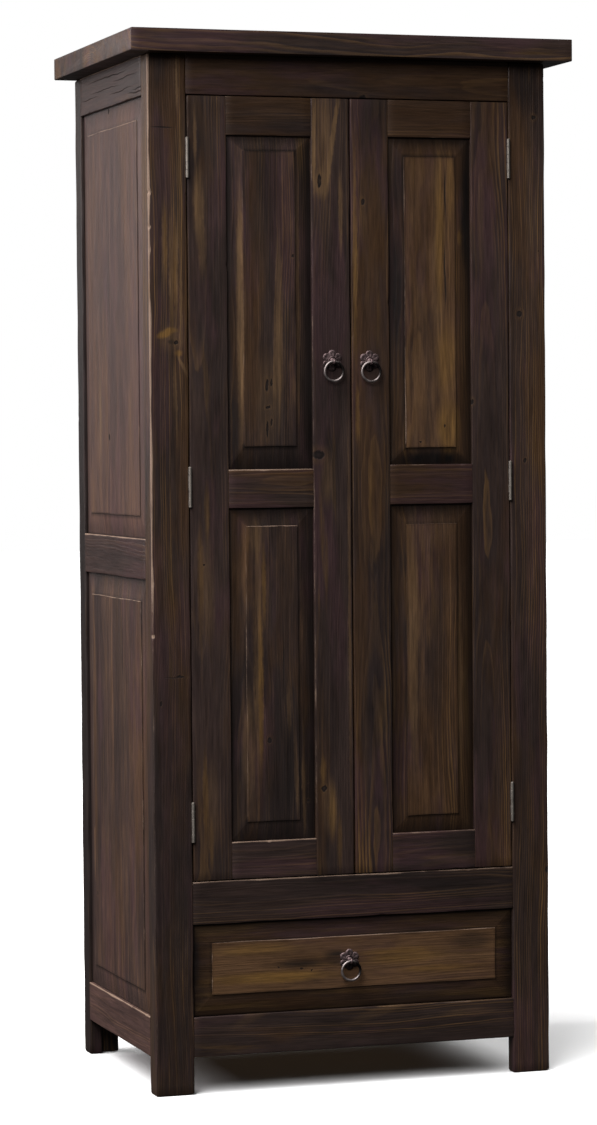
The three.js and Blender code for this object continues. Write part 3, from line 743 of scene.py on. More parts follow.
def raised_panel(node, place, u, v, bevels, along, looks, worn=(0.4, 0.2, 0.4, 0.7),
                 glow=(0.5, 0.5), tongue=TONGUE, back=PANEL_BACK, cell=13 * MM,
                 foot_shade=(0.5,) * 4, bevel_shade=(0.8,) * 4, bevel_rub=(0.1,) * 4,
                 step_shade=(0.7,) * 4, shade=1.0):
    """A panel whose field stands up inside mitred bevels, rising out of the frame.

    u and v are the opening that it fills. Values in fours are for its bottom, right, top
    and left: the bevels' widths, the wear of the field's arrises, the painted shade and light
    on the bevels at their foot and top, the stain rubbed off them, and the painted shadow
    along the field's step.
    glow is how much stain is rubbed off the field at its left and right.
    """
    rng = seeded(node)
    shell = Shell()
    across, up = (max(6, round((high - low) / cell)) for low, high in (u, v))
    sides = np.repeat(np.arange(4), (across, up, across, up))
    at_foot, at_top, painted_step_shade, rub, edge_wear = (
        np.array(fours)[sides] for fours in (foot_shade, bevel_shade, step_shade, bevel_rub, worn)
    )
    inward = np.array([(0, 1), (-1, 0), (0, -1), (1, 0)])[sides]
    run = np.arange(len(sides)) * cell
    waver = wobble(rng, run, 0.17, 0.22 * MM)
    drift = wobble(rng, run, 0.31, 0.5 * MM)
    bottom, right, top, left = bevels

    def outline(share, extra=0.0):
        """A loop that share of the way up the bevels, and extra metres further in."""
        inner_u = u[0] + left * share + extra, u[1] - right * share - extra
        inner_v = v[0] + bottom * share + extra, v[1] - top * share - extra
        return loop(inner_u, inner_v, across, up)

    def add_ring(share, depth, extra=0.0, uneven=0.0, wear=0.0, tone=1.0, rub=0.0):
        flat = outline(share, extra) + inward * (drift * uneven)[:, None]
        points = place(flat[:, 0], flat[:, 1], depth + waver * uneven * 0.6)
        return shell.add(points, wear=wear, rubbed=rub, shade=tone)

    def field_rub(us):
        return np.interp(us, (u[0] + left, u[1] - right), glow)

    # The bevels carry painted shade: a painted shadow in the groove at their foot, each side
    # painted lighter or darker as set up to their top, and a painted shadow along the field's step.
    rows = [
        add_ring(0, back, -tongue),
        add_ring(0, BEVEL_FOOT, -tongue, tone=at_foot),
        # A painted shadow at the very foot of the bevels.
        add_ring(0, BEVEL_FOOT, tone=0.2),
    ]
    for share in (0.1, 0.45, 0.8, 1.0):
        depth = BEVEL_FOOT + (BEVEL_TOP - BEVEL_FOOT) * share
        tone = (at_foot + (at_top - at_foot) * share) * (painted_step_shade if share == 1 else 1)
        rows.append(add_ring(share, depth, uneven=share, tone=tone, rub=rub * share))
    edge_rub = field_rub(outline(1)[:, 0])
    for below, extra, uneven, wear, tone, rubbed in (
        (0.4 * MM, 0.1 * MM, 1, edge_wear, painted_step_shade, edge_rub * 0.5),
        (0.05 * MM, 0.5 * MM, 1, edge_wear, (painted_step_shade + 1) / 2, edge_rub),
        (0.0, FIELD_MARGIN / 2, 0.4, 0.0, 1, edge_rub),
        (0.0, FIELD_MARGIN, 0, 0.0, 1, edge_rub),
    ):
        rows.append(add_ring(1, FIELD_DEPTH + below, extra, uneven, wear, shade * tone, rubbed))
    shell.skin(rows)

    def fill(ring, flat, depth_at, rub_at):
        """Fills a ring with a grid of points that share its edge."""
        table = np.empty((up + 1, across + 1), int)
        edge = [(0, i) for i in range(across)] + [(j, across) for j in range(up)]
        edge += [(up, across - i) for i in range(across)] + [(up - j, 0) for j in range(up)]
        for number, (j, i) in zip(ring, edge):
            table[j, i] = number
        us = flat[:across + 1, 0]
        vs = flat[across:across + up + 1, 1]
        inner_u, inner_v = (values.ravel() for values in np.meshgrid(us[1:-1], vs[1:-1]))
        surface = place(inner_u, inner_v, depth_at(inner_u, inner_v))
        numbers = shell.add(surface, rubbed=rub_at(inner_u), shade=shade)
        table[1:-1, 1:-1] = np.array(numbers).reshape(up - 1, across - 1)
        for low, high in zip(table, table[1:]):
            for i in range(across):
                shell.faces.append((low[i], low[i + 1], high[i + 1], high[i]))

    middle_v = (v[0] + v[1]) / 2
    wave_u, wave_v = rng.uniform(0.5, 2.0, 2)

    def field_depth(us, vs):
        """Gently swollen, but level at the field's margin."""
        swell = np.sin(us * 19 * wave_u + 1) * np.cos((vs - middle_v) * 9 * wave_v)
        for room in (us - u[0] - left, u[1] - right - us, vs - v[0] - bottom, v[1] - top - vs):
            swell = swell * np.clip((room - FIELD_MARGIN) / 0.03, 0, 1)
        return FIELD_DEPTH + FIELD_SWELL * swell

    fill(rows[-1], outline(1, FIELD_MARGIN), field_depth, field_rub)
    fill(rows[0], outline(0, -tongue), lambda us, vs: np.full(len(us), back), np.zeros_like)

    points = np.array(shell.points)
    timber = Timber(points.min(0), points.max(0), along, rng)
    slot = SLOT_OF_NODE[node]
    material = marked(f"{node}_pine", FINISH_OF_SLOT[slot], timber, **looks)
    piece(f"{node}_wood", shell, BODY_OF_NODE[node], slot, material, timber, [node], sharp=4)


# ------------------------------------------------------------------ camera, light, floor
CAMERA_PLACE = (-2.1545, -6.5184, 1.2335)
CAMERA_TURN = (18.068, -2.093, -0.478)  # degrees: to the right, up and anticlockwise
CAMERA_LENS = 112.5
FLOOR_REACH = 30


def add_camera():
    """The viewpoint: 6.5 m in front, a little to the left, just above the middle."""
    yaw, pitch, roll = (math.radians(angle) for angle in CAMERA_TURN)
    level = Vector((math.sin(yaw), math.cos(yaw), 0))
    ahead = level * math.cos(pitch) + Vector((0, 0, math.sin(pitch)))
    right = Vector((math.cos(yaw), -math.sin(yaw), 0))
    up = right.cross(ahead)
    rolled_right = math.cos(roll) * right + math.sin(roll) * up
    rolled_up = math.cos(roll) * up - math.sin(roll) * right
    data = bpy.data.cameras.new("camera")
    data.lens = CAMERA_LENS
    data.sensor_width = 36
    data.clip_end = 200
    camera = add_object("camera", data)
    turn = Matrix((rolled_right, rolled_up, -ahead)).transposed()
    camera.matrix_world = Matrix.Translation(CAMERA_PLACE) @ turn.to_4x4()
    bpy.context.scene.camera = camera


def add_light(name, kind, power, towards):
    """A light that shines that way."""
    light = add_object(name, bpy.data.lights.new(name, kind))
    light.data.energy = power
    light.rotation_mode = "QUATERNION"
    light.rotation_quaternion = Vector(towards).to_track_quat("-Z", "Y")
    return light


def add_softbox(name, place, aim, size, power, colour=(1, 1, 1), glossy=True):
    light = add_light(name, "AREA", power, Vector(aim) - Vector(place))
    light.location = place
    light.data.shape = "RECTANGLE"
    light.data.size, light.data.size_y = size
    light.data.color = colour
    light.visible_camera = False
    light.visible_glossy = glossy


def add_world():
    """White to the camera, but hardly any light from it."""
    world = bpy.data.worlds.new("studio")
    world.use_nodes = True
    tree = world.node_tree
    background = tree.nodes["Background"]
    path = tree.nodes.new("ShaderNodeLightPath")
    strength = tree.nodes.new("ShaderNodeMapRange")
    strength.inputs["To Min"].default_value = 0.05
    strength.inputs["To Max"].default_value = 1.0
    tree.links.new(path.outputs["Is Camera Ray"], strength.inputs["Value"])
    tree.links.new(strength.outputs[0], background.inputs["Strength"])
    background.inputs["Color"].default_value = (1, 1, 1, 1)
    bpy.context.scene.world = world


def add_floor():
    mesh = bpy.data.meshes.new("floor")
    near, far = -FLOOR_REACH, FLOOR_REACH
    corners = [(near, near, 0), (far, near, 0), (far, far, 0), (near, far, 0)]
    mesh.from_pydata(corners, [], [(0, 1, 2, 3)])
    material, n, shader = new_material("pale_floor")
    tone = n.noise(n.add("ShaderNodeTexCoord").outputs["Object"], (1.5, 1.5, 1.5), 3.0)
    n.feed(shader["Base Color"], n.mix(tone, (0.93, 0.93, 0.93), (0.96, 0.96, 0.96)))
    n.feed(shader["Roughness"], n.ramp(tone, 0.2, 0.8, 0.7, 0.85))
    mesh.materials.append(material)
    floor = add_object("floor", mesh)
    floor.visible_glossy = False
    floor.visible_diffuse = False


def add_studio():
    """A plain room: broad light from above, softboxes round the piece, a pale floor."""
    bpy.context.scene.view_settings.view_transform = "Standard"
    add_world()
    add_softbox("key", (-2.6, -3.8, 3.6), (0, 0, 1.1), (2.2, 2.2), 150)
    add_softbox("left_card", (-3.0, 3.0, 2.4), (-0.35, 0, 1.3), (2.4, 2.4), 34)
    add_softbox("left_fill", (-4.2, 0.3, 2.6), (-0.4, 0, 1.2), (2.0, 2.4), 120, (1, 0.95, 0.96))
    add_softbox("right_back", (3.6, 3.4, 2.6), (0, 0.2, 1.0), (2.4, 2.4), 130, glossy=False)
    for name, power, spread, towards in (
        ("overhead", 3.9, 40, (0.42, 0.22, -0.88)),
        ("overhead_right", 1.3, 60, (-0.5, -0.25, -0.83)),
    ):
        add_light(name, "SUN", power, towards).data.angle = math.radians(spread)
    add_floor()


# ------------------------------------------------------------------ carcass
LEG_ARRIS = 2.4 * MM
BACK_SHEET = 12 * MM
BACK_BOARDS = 7
BACK_GROOVE = 3 * MM
REBATE_SLACK = 0.3 * MM
RAIL_END = 0.4 * MM  # how far a rail's ends are eased, where they meet a post or stile
NAIL_HEAD = mm((3.2, 0.0), (3.0, 0.5), (1.6, 0.9), (0.2, 1.0))  # radius, distance out


def add_post(side_name, end, looks=None, worn=(0.6, 0.45), pith=None, tilt=None, shade=1.0,
             side_rub=0.0, **shape):
    """An L-shaped corner post. A rear post is rebated for the back above its foot.

    worn is the wear of the outer and the inner arris of its front or rear face, and
    side_rub how much stain is rubbed off its outer face.
    """
    node = f"{side_name}_{end}_post"
    rng = seeded(node)
    lo, hi = box_of(node)
    left, front = side_name == "left", end == "front"
    inwards = 1 if left else -1
    outer, inner = (lo[X], hi[X]) if left else (hi[X], lo[X])
    face, far = (lo[Y], hi[Y]) if front else (hi[Y], lo[Y])
    web = outer + inwards * SIDE_THICKNESS
    flange = face + (FACE_THICKNESS if front else -FACE_THICKNESS)
    corners = [(outer, face), (inner, face), (inner, flange), (web, flange), (web, far)]
    corners.append((outer, far))
    weights = [worn[0], worn[1], 0.1, 0.1, 0.1, 0.3]
    arris = [LEG_ARRIS] * 6
    foot, unrebated = None, []
    if not front:
        back_lo, back_hi = box_of("back_panel")
        edge = (back_lo if left else back_hi)[X] - inwards * REBATE_SLACK
        ledge = face - BACK_SHEET - REBATE_SLACK
        unrebated = [corners[0], (edge, face), (edge + inwards * MM, face), *corners[1:]]
        foot = back_lo[Z] - REBATE_SLACK, unrebated
        corners[1:2] = [(edge, face), (edge, ledge), (inner, ledge)]
        weights[1:2] = [0.1, 0.0, worn[1]]
        arris[1:2] = [0.3 * MM, 0.3 * MM, LEG_ARRIS]
    if left != front:
        for values in (corners, weights, arris, unrebated):
            values.reverse()
    # The outer face closes the section, whichever way round it runs.
    rub = [0.0] * (len(corners) - 1) + [side_rub]
    timber = Timber(lo, hi, Z, rng, pith, tilt)
    timber.across, timber.through = X, Y
    shell = Shell()
    loft(shell, corners, (X, Y), Z, (lo[Z], hi[Z]), rng, arris=arris, uneven=0.6, chips=12,
         end=4 * MM, worn=weights, shade=shade, rubbed=rub, foot=foot, **shape)
    material = PLAIN_PINE["frame_pine"]
    if looks:
        material = marked(f"{node}_pine", STAINED, timber, **looks)
    piece(f"{node}_wood", shell, "carcass", "frame_pine", material, timber, [node])


def add_posts():
    add_post(
        "left", "front", pith=(-0.052, 0.018), tilt=0.012, worn=(0.84, 0.35), side_rub=0.45,
        nicks=((0, 1.683, 5 * MM, 4 * MM), (0, 1.618, 3.5 * MM, 3 * MM),
               (0, 0.86, 4 * MM, 2.5 * MM)),
        less_worn_below=1.05,
        looks={
            "warm": 0.5, "gold": 0.5, "rings": 0.85,
            "knots": [(-343, 1404, 4.5, 4), (-378, 735, 2.5, 5), (-340, 784, 9, 2.5)],
            "cracks": [(-366, 1802, 27, 2.0), (-352, 783, 25, 1.0)],
            "clouds": [
                (-337, 1890, 3.5, 60, 1.3), (-370, 1660, 13, 220, -0.5),
                (-352, 1540, 5, 140, 0.9), (-341, 1520, 4, 130, 0.9, 0.02),
                (-366, 1570, 4, 110, 0.6), (-333, 1480, 3.5, 80, 0.8),
                (-350, 1412, 30, 30, 0.45), (-331, 1362, 4, 24, 1.2, -0.45),
                (-345, 1300, 4, 90, 0.7, -0.04), (-360, 360, 90, 620, -0.85),
                (-372, 1220, 20, 160, -0.5), (-350, 60, 60, 150, -0.6),
            ],
            "tints": [
                (-364, 1421, 15, 10, 1.5, 0.9), (-352, 1428, 14, 6, 1.0), (-338, 1385, 9, 7, 0.8),
                (-351, 1406, 9, 5, -0.9), (-362, 1590, 4, 90, 0.5), (-344, 1560, 4, 120, 0.6),
            ],
        },
    )
    add_post(
        "right", "front", pith=(0.06, 0.02), worn=(0.4, 0.3),
        looks={
            "warm": 0.45, "rings": 1.0,
            "knots": [(372, 1835, 5, 5), (341, 1460, 6, 7), (351, 1180, 3, 4)],
            "clouds": [(357, 480, 60, 480, -0.4), (368, 1650, 12, 200, 0.25)],
        },
    )
    add_post("left", "rear", shade=0.75, looks={"clouds": [(-394, 1000, 16, 1500, -1.3)]})
    add_post("right", "rear", shade=0.75)


def add_front_rails():
    """Rails between the front posts. The middle one's top arris is worn, the drawer side dark."""
    fit = {"trim": TENON, "end": RAIL_END}
    board("upper_front_rail", X, {"warm": 0.7, "rings": 0.3}, chips=2, shade=0.86,
          worn=(0.3, 0.1, 0.1, 0.2), **fit)
    board("middle_front_rail", X, {"rings": 0.5, "gold": 0.0}, chips=5, shade=0.78,
          worn=(0.35, 0.1, 0.1, 0.68), uneven=0.9, **fit)
    looks = {
        "warm": 0.12, "gold": 0.15, "rings": 0.5,
        "clouds": [(150, -190, 14, 60, 0.4, 0.5), (140, 60, 12, 90, 0.35, 0.3),
                   (125, 230, 10, 60, 0.3), (110, -330, 30, 110, -0.5)],
    }
    board("lower_front_rail", X, looks, pith=(0.05, 0.03), chips=3, worn=(0.4, 0.1, 0.1, 0.5),
          **fit)


def add_side_rails():
    """Rails between the posts of each side, dusty with a painted sheen. The upper ones are finely
    cracked.
    """
    cracks = [(1921, 40, 1.4, 170), (1909, -90, 1.1, 110), (1899, 60, 1.0, 130),
              (1891, 170, 1.2, 80), (1886, -60, 1.3, 100), (1880, -190, 1.5, 60),
              (1874, -170, 2.0, 70)]
    for side_name, _ in SIDES:
        for level, shade, dust_and_sheen, chips, own_cracks in (
            ("lower", 1.0, 0.4, 4, ()),
            ("middle", 0.68, 0.3, 4, ()),
            ("upper", 0.66, 0.35, 9, cracks),
        ):
            looks = {"warm": 0.0, "gold": 0.1, "rings": 0.3, "dust_and_sheen": dust_and_sheen, "cracks": own_cracks}
            board(f"{side_name}_side_{level}_rail", Y, looks, trim=TENON, end=RAIL_END,
                  chips=chips, shade=shade, worn=(0.5, 0.5, 0.86, 0.86))


def add_side_panels():
    u = box_of("left_front_post")[1][Y], box_of("left_rear_post")[0][Y]
    for side_name, side in SIDES:
        # The upper panels take more painted sheen: they are painted lighter where more light falls.
        for level, dust_and_sheen, clouds in (
            ("lower", 0.14, [(150, 800, 12, 130, 0.6), (20, 300, 20, 120, 0.4)]),
            ("upper", 0.42, [(120, 1270, 14, 110, 0.7), (30, 1750, 30, 220, -0.3)]),
        ):
            node = f"{side_name}_side_{level}_panel"
            lo, hi = box_of(node)
            v = lo[Z] + TONGUE, hi[Z] - TONGUE
            looks = {"staves": 0.148, "warm": 0.3, "gold": 0.2, "rings": 0.6, "dust_and_sheen": dust_and_sheen,
                     "clouds": clouds}
            # Their bevels are painted lighter all round, a painted light; their feet carry a
            # painted shadow.
            raised_panel(node, side_place(side), u, v, (42 * MM,) * 4, Z, looks, glow=(0.35, 0.35),
                         worn=(0.6, 0.74, 0.78, 0.62), cell=18 * MM, shade=0.98,
                         foot_shade=(0.7, 0.6, 0.7, 0.5), bevel_shade=(1.25,) * 4,
                         bevel_rub=(0.25,) * 4, step_shade=(0.35, 0.4, 0.6, 0.4))


def add_top_board():
    """Five staves glued side by side, with the faintest line at each glue joint."""
    node = "top_board"
    rng = seeded(node)
    lo, hi = box_of(node)
    staves, half_line, line_depth = 5, 0.3 * MM, 0.25 * MM
    width = (hi[Y] - lo[Y]) / staves
    corners = [(lo[Y], lo[Z]), (hi[Y], lo[Z]), (hi[Y], hi[Z])]
    for i in range(staves - 1, 0, -1):
        y = lo[Y] + i * width
        corners += [(y + half_line, hi[Z]), (y + half_line, hi[Z] - line_depth)]
        corners += [(y - half_line, hi[Z] - line_depth), (y - half_line, hi[Z])]
    corners.append((lo[Y], hi[Z]))
    worn = [0.35] + [0.0] * (len(corners) - 2) + [0.55]
    timber = Timber(lo, hi, X, rng, pith=(0.0, 0.16), tilt=0.01)
    shell = Shell()
    # The ends are painted lighter, a painted light on the end grain.
    loft(shell, corners, (Y, Z), X, (lo[X], hi[X]), rng, arris=0.05 * MM, end=2.4 * MM, worn=worn,
         warp=0.1 * MM, end_shade=1.45)
    material = pine("top_pine", STAINED, staves=width, warm=0.35, rings=0.5, knotty=0.01)
    piece("top_board_wood", shell, "carcass", "top_pine", material, timber, [node])


def add_back_boards(lo, hi, material):
    """Tongue-and-groove boards, which stand for the CAD's one solid."""
    width = (hi[X] - lo[X]) / BACK_BOARDS
    for i in range(BACK_BOARDS):
        name = f"back_board_{i + 1}"
        rng = seeded(name)
        last = i == BACK_BOARDS - 1
        near = lo[X] + i * width + (BACK_GROOVE / 2 if i else 0)
        far = lo[X] + (i + 1) * width - (0 if last else BACK_GROOVE / 2)
        low = np.array([near, hi[Y] - BACK_SHEET, lo[Z]])
        high = np.array([far, hi[Y], hi[Z]])
        shell = Shell()
        beam(shell, low, high, Z, rng, arris=1.0 * MM, worn=0.1, step=24 * MM, edge_step=40 * MM,
             chips=2, shade=rng.uniform(0.84, 1.06))
        if not last:  # the tongue that closes the groove to the next board
            beam(shell, (far - 1 * MM, low[Y] + 2 * MM, lo[Z]),
                 (far + BACK_GROOVE + 1 * MM, high[Y] - 2 * MM, hi[Z]), Z, rng, arris=0.3 * MM,
                 worn=0.0, step=0.2)
        timber = Timber(low, high, Z, rng)
        replaced = [] if i else ["back_panel"]
        piece(name, shell, "carcass", "interior_pine", material, timber, replaced)


def add_battens(lo, hi, material):
    """Three battens inside the rear posts, and the nails that hold every board to them."""
    inner = box_of("left_rear_post")[1][X] + REBATE_SLACK
    width = (hi[X] - lo[X]) / BACK_BOARDS
    below_floor = box_of("cabinet_floor")[0][Z] - REBATE_SLACK
    for level, low_z, high_z in (
        ("bottom", lo[Z], 130 * MM), ("middle", 350 * MM, below_floor), ("top", 1878 * MM, hi[Z]),
    ):
        name = f"back_batten_{level}"
        rng = seeded(name)
        low = np.array([inner, hi[Y] - 2 * BACK_SHEET, low_z])
        high = np.array([-inner, hi[Y] - BACK_SHEET, high_z])
        shell = Shell()
        beam(shell, low, high, X, rng, worn=0.1, step=30 * MM)
        timber = Timber(low, high, X, rng)
        piece(name, shell, "carcass", "interior_pine", material, timber)
        nails = Shell()
        for i in range(BACK_BOARDS):
            for share in (0.3, 0.7):
                x = lo[X] + (i + share) * width
                z = (low_z + high_z) / 2 + rng.uniform(-4, 4) * MM
                turned(nails, NAIL_HEAD, (x, hi[Y] - 0.2 * MM, z), Y, 1, 12)
        piece(f"back_nails_{level}", nails, "carcass", "hinge_steel", METALS["nail_steel"])


def add_back():
    lo, hi = box_of("back_panel")
    material = pine("back_pine", BARE, knotty=0.4, rings=0.9)
    add_back_boards(lo, hi, material)
    add_battens(lo, hi, material)


def add_interior():
    """The cabinet floor, and the drawer's runners, each a ledge and a guide in one."""
    board("cabinet_floor", X, {"staves": 0.11}, worn=0.2)
    for side_name, side in SIDES:
        node = f"{side_name}_drawer_runner"
        lo, hi = box_of(node)
        rng = seeded(node)
        ledge_top = lo[Z] + 20 * MM
        guide = side * (OPENING - 1.7 * MM)  # it stands just inside the doorway's edge
        inner, outer = (hi[X], lo[X]) if side < 0 else (lo[X], hi[X])
        corners = [(outer, lo[Z]), (inner, lo[Z]), (inner, ledge_top), (guide, ledge_top),
                   (guide, hi[Z]), (outer, hi[Z])]
        if side > 0:
            corners.reverse()
        shell = Shell()
        loft(shell, corners, (X, Z), Y, (lo[Y], hi[Y]), rng, worn=0.2, arris=0.8 * MM)
        piece(f"{node}_wood", shell, "carcass", "interior_pine", PLAIN_PINE["interior_pine"],
              Timber(lo, hi, Y, rng), [node])


# ------------------------------------------------------------------ metal shapes
def turned(shell, profile, base, axis, way, segments=32):
    """A shape turned about an axis: profile is (radius, distance along the axis)."""
    first, second = cross_axes(axis)
    angles = circle(segments)
    rows = []
    for radius, height in profile:
        points = np.zeros((segments, 3))
        points[:, first] = base[first] + radius * np.cos(angles)
        points[:, second] = base[second] + radius * np.sin(angles)
        points[:, axis] = base[axis] + way * height
        rows.append(shell.add(points))
    shell.close(rows)


def swept(shell, path, across, radii, segments=14, closed=False, shades=1.0):
    """A round or oval bar along a path in a plane; across is the plane's unit normal.

    radii is (in the plane, across it) at each point of the path, and shades its shade there.
    """
    path = np.array(path, float)
    if closed:
        tangents = np.roll(path, -1, axis=0) - np.roll(path, 1, axis=0)
    else:
        tangents = np.gradient(path, axis=0)
    radii = np.broadcast_to(radii, (len(path), 2))
    shades = np.broadcast_to(shades, len(path))
    angles = circle(segments)
    rows = []
    for point, tangent, (within, sideways), shade in zip(path, tangents, radii, shades):
        outward = np.cross(tangent / np.linalg.norm(tangent), across)
        offsets = np.outer(np.cos(angles) * within, outward)
        offsets += np.outer(np.sin(angles) * sideways, across)
        rows.append(shell.add(point + offsets, shade=shade))
    if closed:
        shell.skin(rows + [rows[0]])
    else:
        shell.close(rows)


def slotted_screw(shell, centre, axis, way, radius, turn):
    """A countersunk screw head: a low disc with two raised halves either side of its slot."""
    disc = [(radius * 0.7, -0.8 * MM), (radius, -0.1 * MM), (radius * 0.96, 0.05 * MM)]
    turned(shell, disc, centre, axis, way, 20)
    first, second = cross_axes(axis)
    half_slot = radius * 0.16
    start = math.asin(half_slot / radius)
    angles = np.linspace(start, math.pi - start, 12)
    for side in (-1, 1):
        rows = []
        for reach, height in ((1.0, 0.0), (0.97, 0.22 * MM), (0.82, 0.32 * MM)):
            u = radius * reach * np.cos(angles) * 0.97
            v = np.maximum(radius * reach * np.sin(angles) * 0.97, half_slot) * side
            points = np.zeros((len(angles), 3))
            points[:, first] = centre[first] + u * math.cos(turn) - v * math.sin(turn)
            points[:, second] = centre[second] + u * math.sin(turn) + v * math.cos(turn)
            points[:, axis] = centre[axis] + way * height
            rows.append(shell.add(points))
        shell.close(rows)


def plate(shell, lo, hi, along, rng, arris=0.3 * MM):
    """A block of metal with crisp, even edges."""
    beam(shell, lo, hi, along, rng, arris=arris, uneven=0.1, end=arris, step=0.05, edge_step=0.05,
         warp=0.0)


# ------------------------------------------------------------------ hinges
BARREL = 3.2 * MM
PIN = 1.5 * MM
PIN_HEAD = mm((2.2, 0.0), (2.4, 0.15), (2.1, 0.6), (1.3, 0.9), (0.2, 1.0))
HINGE_HALF = 37.3 * MM
KNUCKLES = 5
KNUCKLE_GAP = 0.15 * MM  # at each end of a knuckle
DOOR_GAP = 2 * MM
LEAF_PROUD, LEAF_SUNK = 0.25 * MM, 1.75 * MM  # either side of the wood's surface
LEAF_FRONT, LEAF_BACK = 0.6 * MM, 18 * MM  # behind the frame's face
SCREWS = ((-27, 13), (0, 7.5), (27, 13))  # mm from the hinge's middle, and behind the face
JOINTS = {joint["name"]: joint for joint in frame["joints"]}


def add_hinge(door, side, level):
    """A butt hinge. The frame leaf has three knuckles and the pin, the door leaf two."""
    door_node = f"{door}_{level}_hinge_door_leaf"
    leaf_lo, leaf_hi = box_of(door_node)
    middle = (leaf_lo[Z] + leaf_hi[Z]) / 2
    low, high = middle - HINGE_HALF, middle + HINGE_HALF
    step = (high - low) / KNUCKLES
    x, y = JOINTS[f"{door}_door_hinge"]["pos_m"][:2]
    for first_knuckle, node, wall, towards_gap in (
        (0, f"{door}_{level}_hinge_frame_leaf", side * OPENING, -side),
        (1, door_node, side * (OPENING - DOOR_GAP), side),
    ):
        rng = seeded(node)
        shell = Shell()
        surface = wall + towards_gap * LEAF_PROUD
        near, far = sorted((surface, wall - towards_gap * LEAF_SUNK))
        plate(shell, (near, FACE + LEAF_FRONT, low), (far, FACE + LEAF_BACK, high), Z, rng)
        for k in range(first_knuckle, KNUCKLES, 2):
            start, stop = low + k * step + KNUCKLE_GAP, low + (k + 1) * step - KNUCKLE_GAP
            length = stop - start
            profile = [(BARREL * 0.9, 0.0), (BARREL, 0.35 * MM), (BARREL, length - 0.35 * MM),
                       (BARREL * 0.9, length)]
            turned(shell, profile, (x, y, start), Z, 1)
            plate(shell, (near, y, start + 0.1 * MM), (far, FACE + 0.8 * MM, stop - 0.1 * MM), Z,
                  rng)
        if first_knuckle == 0:
            turned(shell, PIN_HEAD, (x, y, high), Z, 1, 24)
            turned(shell, PIN_HEAD, (x, y, low), Z, -1, 24)
            turned(shell, [(PIN, 0.0), (PIN, high - low)], (x, y, low), Z, 1, 16)
        for up, behind in SCREWS:
            place = surface, FACE + behind * MM, middle + up * MM
            slotted_screw(shell, place, X, towards_gap, 2.7 * MM, rng.uniform(0, 3))
        piece(f"{node}_metal", shell, BODY_OF_NODE[node], "hinge_steel", replaces=[node])


# ------------------------------------------------------------------ ring pulls
PETAL_ANGLES = [math.pi / 2 + k * math.pi / 3 for k in range(6)]
PETAL_REACH, PETAL_RADIUS, PETAL_HEIGHT = 12.2 * MM, 7.8 * MM, 4 * MM
PLATE_HEIGHT = 0.9 * MM  # between the petals
EYE_OUT, EYE_DROP = 11 * MM, 2 * MM
EYE_RADIUS, EYE_BAR = 4.25 * MM, (1.15 * MM, 1.9 * MM)
RING_RADIUS, RING_WIRE = 18.2 * MM, 2.5 * MM
ARM_RADII = mm((3.4, 2.4), (2.6, 2.1), (1.8, 1.9))  # of the arm that holds the eye
WASHER = mm((4.4, 0.1), (6.0, 0.2), (6.0, 0.9), (4.4, 1.1))
NUT = mm((3.7, 1.0), (4.0, 1.3), (4.0, 3.0), (3.4, 3.5), (2.6, 3.6))


def rosette_height(u, v):
    """The cast flower's height: six cupped petals, a bead round the middle and a dome."""
    height = np.full_like(u, PLATE_HEIGHT)
    for angle in PETAL_ANGLES:
        du, dv = u - PETAL_REACH * math.cos(angle), v - PETAL_REACH * math.sin(angle)
        share = np.clip(1 - (du**2 + dv**2) / PETAL_RADIUS**2, 0, 1)
        outward = (du * math.cos(angle) + dv * math.sin(angle)) / PETAL_RADIUS
        sideways = (-du * math.sin(angle) + dv * math.cos(angle)) / PETAL_RADIUS
        vein = 0.5 * MM * np.exp(-((sideways / 0.12) ** 2))
        cup = 1.1 * MM * np.exp(-(((outward - 0.15) / 0.45) ** 2) - (sideways / 0.6) ** 2)
        petal = PLATE_HEIGHT + (PETAL_HEIGHT - PLATE_HEIGHT) * np.sqrt(share)
        height = np.maximum(height, petal - (cup + vein) * np.clip(share * 2, 0, 1))
    reach = np.hypot(u, v)
    height = np.maximum(height, 4.2 * MM * np.exp(-(((reach - 7.6 * MM) / (1.2 * MM)) ** 2)))
    return np.maximum(height, 6.8 * MM * np.sqrt(np.clip(1 - (reach / (6.4 * MM)) ** 2, 0, 1)))


def rosette_outline(angles):
    """How far the petals reach from the middle in each direction."""
    reach = np.zeros_like(angles)
    for angle in PETAL_ANGLES:
        inside = PETAL_RADIUS**2 - (PETAL_REACH * np.sin(angles - angle)) ** 2
        edge = PETAL_REACH * np.cos(angles - angle) + np.sqrt(np.clip(inside, 0, None))
        reach = np.maximum(reach, np.where(inside > 0, edge, 0))
    return reach


def add_rosette(shell, x, y, z):
    """The six-petal flower, with painted shade darkening the half below its eye."""
    angles = circle(96)
    outline = rosette_outline(angles)
    rows = []
    for share in np.linspace(0.02, 1.0, 26) ** 0.85:
        u, v = outline * share * np.cos(angles), outline * share * np.sin(angles)
        # Painted shade: the lower half, under the ring, darker.
        painted_shade = np.interp(v, (-9 * MM, -1 * MM), (0.3, 1.0))
        points = np.stack([x + u, y - rosette_height(u * 0.995, v * 0.995), z + v], axis=1)
        rows.append(shell.add(points, shade=painted_shade))
    for share, height in ((1.01, 0.5 * MM), (0.99, 0.05 * MM)):
        u, v = outline * np.cos(angles) * share, outline * np.sin(angles) * share
        rows.append(shell.add(np.stack([x + u, np.full_like(u, y - height), z + v], axis=1)))
    shell.close(rows)


